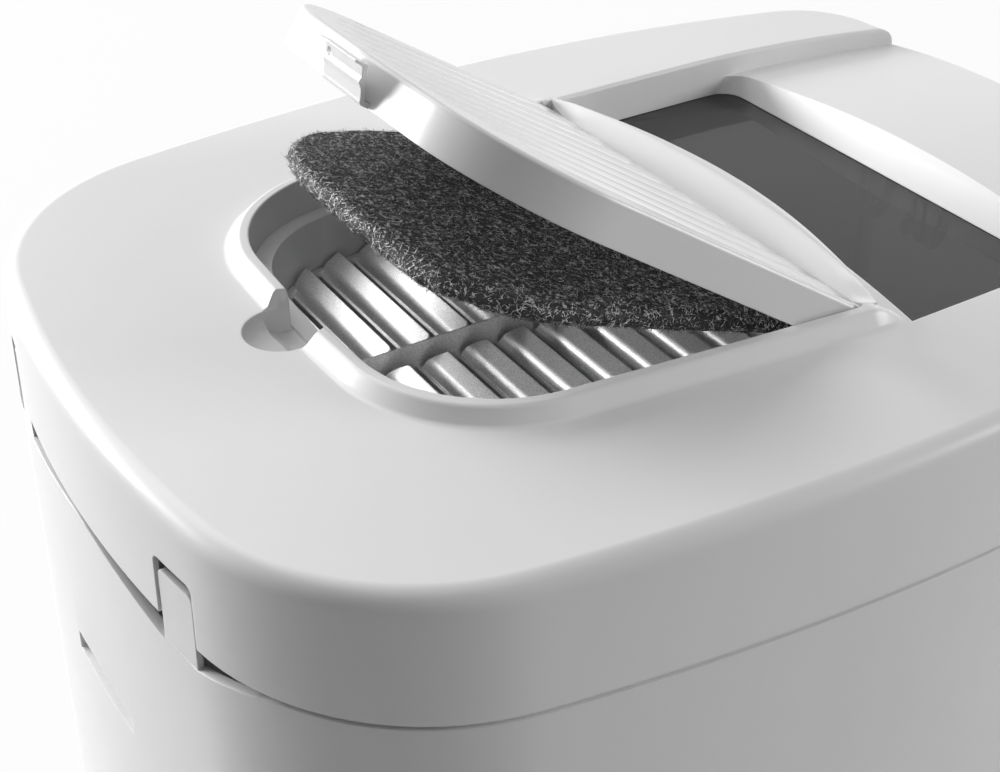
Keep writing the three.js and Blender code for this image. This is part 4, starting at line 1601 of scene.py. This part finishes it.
@dataclass
class FilterLid:
    """Ribbed lid on its pins, with its latch tongue: made shut, then turned open."""

    body: Body
    mouth: Mouth
    ledge_z: float
    open_angle: float = 33.5
    clearance: float = 1.2
    plate: float = 3.4
    top_drop: float = 1.0
    wall: float = 2.4
    nose: float = 5.0
    pin_radius: float = 2.4
    pin_length: float = 4.0
    reed_pitch: float = 25.9
    reed_closing: float = 0.0017
    reed_depth: float = 2.0
    groove_depth: float = 1.0
    groove_width: float = 0.28
    reed_crest: float = 0.9
    groove_fade: float = 9.0
    lip_reach: float = 2.5
    edge_round: float = 2.2
    latch_half: float = 16.5
    latch_thickness: float = 2.2
    latch_foot: float = 2.4
    latch_reach: float = 9.0
    latch_lip: float = 3.5
    latch_bump: float = 1.2
    latch_hole: float = 1.75
    seat: float = 0.3

    @property
    def axis(self) -> Point:
        """The line that the lid turns about, as y and z."""
        return self.body.hinge_y + self.nose + 1, self.top - self.nose

    @property
    def top(self) -> float:
        """Height of the shut lid's plate."""
        return self.body.crest_z - self.top_drop

    @property
    def low(self) -> float:
        """Height of the shut lid's lower edge."""
        return self.ledge_z + self.seat

    @property
    def latch_y(self) -> float:
        """Outer face of the lid's back wall."""
        return self.mouth.back_y - self.clearance - 0.6

    def cover(self) -> Solid:
        """The lid's reeded plate, walls, nose and pins.

        Returns:
            The shut lid.
        """
        front = self.nose + 1
        half = self.mouth.front_half - self.mouth.slope * front - self.clearance - 0.3
        high = self.top + self.reed_crest
        rings = [(self.mouth.outline(self.clearance, front), self.low)]
        for angle in quarter_turn(8):
            inset, drop = (self.edge_round * (1 - turn(angle)) for turn in (math.cos, math.sin))
            rings.append((self.mouth.outline(self.clearance + inset, front), high - drop))
        hollow = self.mouth.outline(self.clearance + self.wall, front - 2)
        cover = Solid.loft(rings) & self.reeding()
        cover -= Solid.prism(hollow, self.low - 1, self.top - self.plate)
        cover += Solid.rod((-half, half), *self.axis, self.nose, 48)
        cover += self.lip(half)
        reach = half + self.pin_length
        cover += Solid.rod((-reach, reach), *self.axis, self.pin_radius)
        half, depth = self.latch_half + 2 * self.seat, self.latch_thickness + self.seat
        along = (self.latch_y - self.wall - 1, self.body.back_y)
        return cover - Solid.block((-half, half), along, (self.low - 1, self.low + depth))

    def surface(self, x: float, y: float) -> float:
        """Height of the reeded plate: broad crests with narrow valleys that close towards the back.

        Args:
            x: Distance from the middle.
            y: Distance behind the hinge line.

        Returns:
            The height, with the valleys faded out at the plate's edges.
        """
        scale = 1 - self.reed_closing * y
        across = abs((x / (self.reed_pitch * scale) + 0.5) % 1.0 - 0.5) * 2
        sides = self.mouth.side_x(y, self.clearance) - abs(x)
        ends = min(self.mouth.length + self.mouth.bow - y, y + self.lip_reach + 1)
        corner = 0.7 * (self.mouth.length - 22 - 0.0042 * x * x + 24 - y)
        share = max(0.0, min(1.0, (min(sides, ends, corner) - 2.0) / self.groove_fade))
        fade = share * share * (3 - 2 * share)
        groove = max(0.0, (across - 1 + self.groove_width) / self.groove_width)
        depth = self.reed_depth * across**2 + self.groove_depth * groove * groove * (3 - 2 * groove)
        return self.top + self.reed_crest - depth * fade

    def reeding(self) -> Solid:
        """All the space under the reeded plate's surface.

        Returns:
            The space.
        """
        steps, fine, count = 34, 30, 7
        low = self.low - 5
        rings = []
        for i in range(steps + 1):
            y = -8 + (self.mouth.length + 16) * i / steps
            pitch, reach = self.reed_pitch * (1 - self.reed_closing * y), count * fine
            places = [pitch * j / fine for j in range(reach, -reach - 1, -1)]
            ring = [(places[0], low), *[(x, self.surface(x, y)) for x in places], (places[-1], low)]
            rings.append([(x, self.body.hinge_y + y, z) for x, z in ring])
        return Solid.skin(rings)

    def lip(self, half: float) -> Solid:
        """The plate's front lip, which turns down into the bar's hollow as the lid opens.

        Args:
            half: Half its length.

        Returns:
            The lip.
        """
        y, z = self.body.hinge_y, self.top + self.reed_crest
        edge, seam = y - self.lip_reach, y + self.nose + 1
        upper = [(y - 2, z + 2, 0), (seam + 1, z + 2, 0), (seam + 1, z - 5, 0)]
        lower = [(seam - 3, z - 6.4, 0), (edge, z - 4.2, 1.6), (edge, z - 0.2, 1.3)]
        return Solid.along_x(rounded([*upper, *lower], 8), -half, half) & self.reeding()

    def latch(self) -> Solid:
        """A spring tongue: it turns up under the lid's wall and leans back to a finger lip.

        Returns:
            The tongue on the shut lid.
        """
        low, top, t = self.low, self.body.crest_z - 2.5, self.latch_thickness
        root, foot = self.latch_y - self.wall, self.latch_y + self.latch_foot
        head = self.latch_y + self.latch_reach
        lean, bump = (head - foot) / (top - low - t), low + 0.52 * (top - low)

        def at(z: float) -> float:
            """The tongue's inner face at a height."""
            return foot + lean * (z - low - t)

        heel = [(foot + t * math.sin(a), low + t - t * math.cos(a)) for a in quarter_turn(8)]
        knob = [
            (at(bump + s) + t + self.latch_bump * math.cos(math.pi * s / 5.0) ** 2, bump + s)
            for s in (-2.5 + 0.5 * i for i in range(11))
        ]
        neck, tip = at(top - 1.8) + t, head + t + self.latch_lip
        lip = [(neck, top - 1.8), (neck + 0.8, top - 1.3), (tip - 0.4, top - 1.1), (tip, top - 0.6)]
        back = [(tip - 0.3, top), (head - 0.4, top), (foot, low + t), (root, low + t)]
        profile = [(root, low + t / 3), (root + 0.6, low), *heel, *knob, *lip, *back]
        tongue = Solid.along_x(profile, -self.latch_half, self.latch_half)
        hole = circle((0.75 * self.latch_half, bump + 3.4), self.latch_hole, 24)
        return tongue - Solid.along_y(hole, self.latch_y, self.body.back_y)

    def build(self) -> None:
        """Make the lid and the latch as they stand open."""
        shut = (self.cover(), self.latch())
        lid, latch = (one.turned(*self.axis, self.open_angle) for one in shut)
        lid.piece("ribbed_lid", WHITE_LID, Carrier.LID, "filter_lid")
        latch.piece("latch_tongue", WHITE_LID, Carrier.LATCH, "lid_latch")


# ---------------------------------------------------------------- filter grille


@dataclass
class FilterGrille:
    """Silver grille of slanted slats with pointed inner ends, either side of a spine."""

    body: Body
    mouth: Mouth
    lip_z: float
    seat: float = 0.3
    ledge_width: float = 9.0
    clearance: float = 0.4
    rim: float = 3.5
    base: float = 2.4
    pitch: float = 20.6
    count: int = 9
    run: float = 12.6
    knee: Point = (8.6, 4.0)
    hip: Point = (8.0, 8.0)
    first: float = 15.9
    slat_top: float = 40.0
    thickness: float = 1.6
    spine_half: float = 1.7
    spine_gap: float = 1.6
    spine_top: float = 36.0

    @property
    def low(self) -> float:
        """Height of the grille's underside."""
        return self.lip_z + self.seat

    def louvre(self, y: float, inset: float) -> Solid:
        """One convex slat on one side, solid down to the base, its inner end rounded down.

        Args:
            y: Where its sharp upper edge stands.
            inset: How far its upper faces are moved in.

        Returns:
            The slat's outer form, or with inset the space under it.
        """
        high, low = self.body.crest_z - self.slat_top - 1.15 * inset, self.low - inset
        half, start = self.mouth.front_half, y - inset
        knee_y, knee_z = y + self.knee[0] - 0.7 * inset, high - self.knee[1]
        foot = y + self.run - 1.1 * inset
        section = [(start, high, 0), (start, low, 0), (foot, low, 0), (knee_y, knee_z, 7.0)]
        inside, top = self.spine_half + self.spine_gap + inset, high + 1
        hip = [(inside, low - 1), (half, low - 1), (half, top)]
        for angle in quarter_turn(8):
            drop = self.hip[1] * (1 - math.cos(angle))
            hip.append((inside + self.hip[0] * (1 - math.sin(angle)), top - 1 - drop))
        blade = Solid.along_x(rounded(section, 10), 0.0, half)
        return blade & Solid.along_y(hip, start - 1, foot + 1)

    def slat(self, number: int, inner: Solid) -> Solid:
        """One pair of slats.

        Args:
            number: Its place, counted from the front.
            inner: The space inside the frame.

        Returns:
            The pair.
        """
        y = self.body.hinge_y + self.first + self.pitch * number
        blade = self.louvre(y, 0.0) - self.louvre(y, self.thickness)
        along, height = (y + self.run - 3, y + self.run), (self.low, self.low + self.base)
        base = Solid.block((0.0, self.mouth.front_half), along, height)
        return (blade + base).both_sides() & inner

    def build(self) -> None:
        """Make the grille."""
        low, outside = self.low, self.ledge_width + self.clearance
        frame = Solid.prism(self.mouth.outline(outside), low, low + self.rim + 1.5)
        frame -= Solid.prism(self.mouth.outline(outside + self.rim), low - 1, low + self.rim + 3)
        inner = Solid.prism(self.mouth.outline(outside + self.rim / 2), low, self.body.crest_z)
        front, back = self.body.hinge_y + outside, self.mouth.back_y - outside
        top, half = self.body.crest_z - self.spine_top, self.spine_half
        right = [(half, low), (half / 3, top - 0.4), (half / 6, top)]
        spine = [(-half, low), *right, *[(-x, z) for x, z in right[:0:-1]]]
        grille = frame + (Solid.along_y(spine, front, back) & inner)
        for number in range(self.count):
            grille += self.slat(number, inner)
        grille.piece("louvred_grille", SILVER, Carrier.HOOD, "filter_grille")


# ---------------------------------------------------------------- window and flap


@dataclass
class Window:
    """Smoked sheet under the opening before the filter lid."""

    hood: Hood
    thickness: float = 2.5
    rear: float = 12.0
    margin: float = 5.0
    proud: float = 0.2

    def build(self) -> None:
        """Make the sheet."""
        hood, hinge_y = self.hood, self.hood.body.hinge_y
        half, top = hood.rail_half + self.margin, hood.recess_z + self.proud
        front, rear = hinge_y - hood.window_front - self.margin, hinge_y - self.rear
        loop = gate((half, -half), rear, front, hood.window_corner + self.margin)
        sheet = Solid.prism(loop, top - self.thickness, top)
        sheet.piece("smoked_window", SMOKE, Carrier.HOOD, "window_pane")


@dataclass
class Flap:
    """Smoked entrance flap with its barrel and pins."""

    tray: Tray
    corner: float = 46.0
    gap: float = 2.0
    thickness: float = 3.0
    barrel: float = 5.0
    pin_radius: float = 2.5
    pin_head: float = 4.2
    pin_depth: float = 5.0
    pin_play: float = 0.3
    head_span: Point = (121.8, 123.4)

    def build(self) -> None:
        """Make the flap and its pins."""
        y, z = self.tray.body.flap_axis
        half, low = self.tray.doorway_half - self.gap, self.tray.sill_height + self.gap
        outline = gate((half, -half), z, low, self.corner, 16)
        flap = Solid.along_y(outline, y - self.thickness / 2, y + self.thickness / 2)
        flap += Solid.rod((-half, half), y, z, self.barrel)
        bore = (half - self.pin_depth - 1, half + 1)
        flap -= Solid.rod(bore, y, z, self.pin_radius + self.pin_play).both_sides()
        flap.piece("smoked_flap", SMOKE, Carrier.FLAP, "swing_door")
        head, outer = self.head_span
        for side in Side:
            pin = Solid.rod(self.span(side, half - self.pin_depth, head + 1), y, z, self.pin_radius)
            pin += Solid.rod(self.span(side, head, outer), y, z, self.pin_head)
            name, node = f"flap_pin_{side.word}", f"door_pin_{side.word}"
            pin.piece(name, PALE_CLIP, Carrier.HOOD, node)

    @staticmethod
    def span(side: Side, near: float, far: float) -> Point:
        """Two distances from the middle, in order along X, on a side."""
        return (near, far) if side is Side.RIGHT else (-far, -near)


# ---------------------------------------------------------------- filter pad


@dataclass
class FilterPad:
    """Soft charcoal pad: felt swelled by cloth simulation, with a nap of loose fibres."""

    body: Body
    mouth: Mouth
    ledge_z: float
    inset: float = 5.5
    front: float = 16.0
    thickness: float = 10.5
    tilt: float = 16.8
    seat: float = 0.3
    shrink: float = 1.3
    voxel: float = 4.0
    pressure: float = 4.0
    frames: int = 20
    cap: float = 5.0
    strands: int = 32000
    strand_length: Point = (2.0, 6.0)
    strand_width: float = 0.27
    strand_curl: float = 0.6
    strand_spread: float = 1.5
    strand_height: float = 0.12
    lift: float = 0.2
    waves: tuple[Point, ...] = ((0.035, 0.7), (0.16, 0.35))
    skin: float = 0.4
    seed: int = 7

    @property
    def low(self) -> float:
        """Height of the pad's underside as it lies flat."""
        return self.ledge_z + self.seat

    def slab(self) -> Solid:
        """The felt before it swells, lying flat, with soft edges.

        Returns:
            The felt.
        """
        inset, front = self.inset + self.shrink, self.front + self.shrink
        low, high = self.low + self.shrink, self.low + self.thickness - self.shrink
        half, middle = (high - low) / 2, (low + high) / 2
        rings = []
        for i in range(7):
            angle = math.pi * (i / 6 - 0.5)
            out = half * (1 - math.cos(angle))
            outline = self.mouth.outline(inset + out, front + out)
            rings.append((outline, middle + half * math.sin(angle)))
        return Solid.loft(rings)

    def swelled(self, slab: Solid) -> Solid:
        """The felt after a cloth simulation under inner pressure.

        Args:
            slab: The felt as it starts.

        Returns:
            The felt with no point moved further than the cap.
        """
        scene = bpy.context.scene
        mesh = slab.mesh.copy()
        mesh.transform(Matrix.Scale(MM, 4))
        felt = placed("felt", mesh)
        remesh = felt.modifiers.new("remesh", "REMESH")
        remesh.mode = "VOXEL"
        remesh.voxel_size = self.voxel * MM
        start = evaluated(felt)
        felt.modifiers.clear()
        felt.data = start
        cloth = felt.modifiers.new("cloth", "CLOTH")
        cloth.settings.use_pressure = True
        cloth.settings.uniform_pressure_force = self.pressure
        cloth.settings.effector_weights.gravity = 0.0
        cloth.point_cache.frame_start = 1
        cloth.point_cache.frame_end = self.frames
        for frame in range(1, self.frames + 1):
            scene.frame_set(frame)
        graph = bpy.context.evaluated_depsgraph_get()
        moved = [vertex.co.copy() for vertex in felt.evaluated_get(graph).data.vertices]
        felt.modifiers.clear()
        for vertex, place in zip(start.vertices, moved):
            step = place - vertex.co
            vertex.co += step * min(1.0, self.cap * MM / max(step.length, 1e-9))
        scene.frame_set(1)
        subdivide = felt.modifiers.new("smooth", "SUBSURF")
        subdivide.levels = 1
        made = evaluated(felt)
        made.transform(Matrix.Scale(1 / MM, 4))
        bpy.data.objects.remove(felt)
        return Solid(made)

    def settled(self, felt: Solid) -> Solid:
        """The felt held within its own space, with the shallow waves of needled fibre.

        Args:
            felt: The swelled felt.

        Returns:
            The same felt.
        """
        low, high = self.low + self.skin, self.low + self.thickness - self.skin
        for vertex in felt.mesh.vertices:
            wave = sum(noise.noise(vertex.co * scale) * height for scale, height in self.waves)
            vertex.co.z = max(low, min(high, vertex.co.z + wave))
        return felt

    def nap(self, felt: Solid) -> Solid:
        """Loose fibres lying on the felt and standing out of its edges.

        Args:
            felt: The swelled felt.

        Returns:
            Thin curled ribbons.
        """
        dice = random.Random(self.seed)
        faces = list(felt.mesh.polygons)
        chosen = dice.choices(faces, weights=[face.area for face in faces], k=self.strands)
        vertices: list[Vector] = []
        quads: list[tuple[int, int, int, int]] = []
        for face in chosen:
            normal = face.normal.copy()
            across = Vector([dice.gauss(0, 1) for _ in range(3)]).cross(normal).normalized()
            along = across.cross(normal)
            length = dice.uniform(*self.strand_length)
            curl = dice.uniform(-self.strand_curl, self.strand_curl)
            rise = dice.uniform(0.0, 2 * self.lift)
            root = face.center + across * dice.uniform(-self.strand_spread, self.strand_spread)
            first = len(vertices)
            for step in range(4):
                t = step / 3 - 0.3
                place = root + along * (length * t) + across * (curl * length * t * t)
                up = self.strand_height + rise * length * max(t, 0.0) * (1.2 - t)
                place += normal * up
                side = across * (self.strand_width / 2)
                vertices += [place - side, place + side]
            quads += [(at, at + 1, at + 3, at + 2) for at in (first, first + 2, first + 4)]
        ribbons = bpy.data.meshes.new("nap")
        ribbons.from_pydata(vertices, [], quads)
        return Solid(ribbons)

    def build(self) -> None:
        """Make the felt and its nap, half lifted."""
        felt = self.settled(self.swelled(self.slab()))
        axis = (self.body.hinge_y + self.front, self.low)
        pad, nap = (one.turned(*axis, self.tilt) for one in (felt, self.nap(felt)))
        piece = pad.piece("felt_pad", CHARCOAL, Carrier.PAD, "filter_pad", sharp=180.0)
        nap.piece("felt_nap", FIBRE, Carrier.PAD, sharp=180.0)


# ---------------------------------------------------------------- studio


@dataclass(frozen=True)
class Softbox:
    """A soft rectangular lamp, placed by where it stands round the box."""

    name: str
    bearing: float
    elevation: float
    distance: float
    size: Point
    watts: float

    def hang(self, aim: Vector) -> None:
        """Hang the lamp and point it.

        Args:
            aim: What it points at; the bearing turns from the back to the left.
        """
        data = bpy.data.lights.new(self.name, "AREA")
        data.shape = "RECTANGLE"
        data.size, data.size_y = self.size
        data.energy = self.watts
        lamp = placed(self.name, data)
        bearing, elevation = math.radians(self.bearing), math.radians(self.elevation)
        level = math.cos(elevation)
        out = Vector((-math.sin(bearing) * level, math.cos(bearing) * level, math.sin(elevation)))
        lamp.matrix_world = facing(aim + out * self.distance, -out)


@dataclass
class Studio:
    """Pale floor, soft lamps and the camera."""

    aim: Vector = field(default_factory=lambda: Vector((0.0, 0.0, 0.35)))
    softboxes: tuple[Softbox, ...] = (
        Softbox("back_softbox", -60.0, 11.0, 3.2, (2.0, 1.1), 145.0),
        Softbox("side_softbox", -75.0, 45.0, 2.6, (1.6, 1.4), 24.0),
        Softbox("front_softbox", 146.0, 17.0, 3.0, (1.4, 1.0), 50.0),
        Softbox("low_softbox", -148.0, 8.0, 3.0, (0.5, 0.5), 3.0),
        Softbox("top_softbox", 0.0, 84.0, 2.6, (2.0, 2.0), 14.0),
    )
    eye: Vector = field(default_factory=lambda: Vector((-0.5647, 0.4169, 0.7741)))
    yaw: float = -32.558
    pitch: float = -32.21
    lens: float = 59.33
    sensor: float = 36.0
    reach: float = 50.0
    shift: Point = (-0.0356, -0.0431)
    floor_size: float = 12.0
    world_level: float = 0.08

    def build(self) -> None:
        """Make the camera, the floor, the world and the lamps."""
        self.camera()
        self.floor()
        self.world()
        for softbox in self.softboxes:
            softbox.hang(self.aim)

    def camera(self) -> None:
        """The camera, from behind and to the left of the box."""
        data = bpy.data.cameras.new("camera")
        camera = placed("camera", data)
        yaw, pitch = math.radians(self.yaw), math.radians(self.pitch)
        level = math.cos(pitch)
        ahead = Vector((math.cos(yaw) * level, math.sin(yaw) * level, math.sin(pitch)))
        camera.matrix_world = facing(self.eye, ahead)
        data.lens = self.lens
        data.sensor_width = self.sensor
        data.shift_x, data.shift_y = self.shift
        data.clip_end = self.reach
        bpy.context.scene.camera = camera

    def floor(self) -> None:
        """The floor under the box."""
        half = self.floor_size / 2
        mesh = bpy.data.meshes.new("studio_floor")
        corners = [(-half, -half, 0), (half, -half, 0), (half, half, 0), (-half, half, 0)]
        mesh.from_pydata(corners, [], [(0, 1, 2, 3)])
        piece = placed("studio_floor", mesh)
        FLOOR.dress(piece)
        piece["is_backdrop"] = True

    def world(self) -> None:
        """A white surround at a plain level."""
        world = bpy.data.worlds.new("studio")
        world.use_nodes = True
        bpy.context.scene.world = world
        graph = Graph(world.node_tree)
        strength = graph.background_rays() * (1.0 - self.world_level) + self.world_level
        values = {"Color": grey(1.0), "Strength": strength}
        surround = graph.node("ShaderNodeBackground", values=values)
        graph.node("ShaderNodeOutputWorld", values={"Surface": surround})


def corners() -> list[list[float]]:
    """The whole object's box as plain numbers."""
    return [[float(v) for v in corner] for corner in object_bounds()]


def main() -> None:
    """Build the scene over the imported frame."""
    logging.basicConfig(level=logging.INFO, format="%(message)s")
    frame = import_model()
    bpy.context.scene.view_settings.view_transform = "Standard"
    Studio().build()
    pins = next(joint for joint in frame["joints"] if joint["name"] == "lid_swing")["pos_m"]
    nose = FilterLid.nose
    body = Body(hinge_y=pins[1] / MM - nose - 1, crest_z=pins[2] / MM + nose + FilterLid.top_drop)
    mouth = Mouth(body.hinge_y)
    hood = Hood(body, mouth)
    tray = Tray(body, hood)
    parts = [
        hood,
        tray,
        FilterLid(body, mouth, hood.ledge_z),
        FilterGrille(body, mouth, hood.lip_z),
        Window(hood),
        Flap(tray),
        FilterPad(body, mouth, hood.ledge_z),
    ]
    for part in parts:
        part.build()


if __name__ == "__main__":
    main()
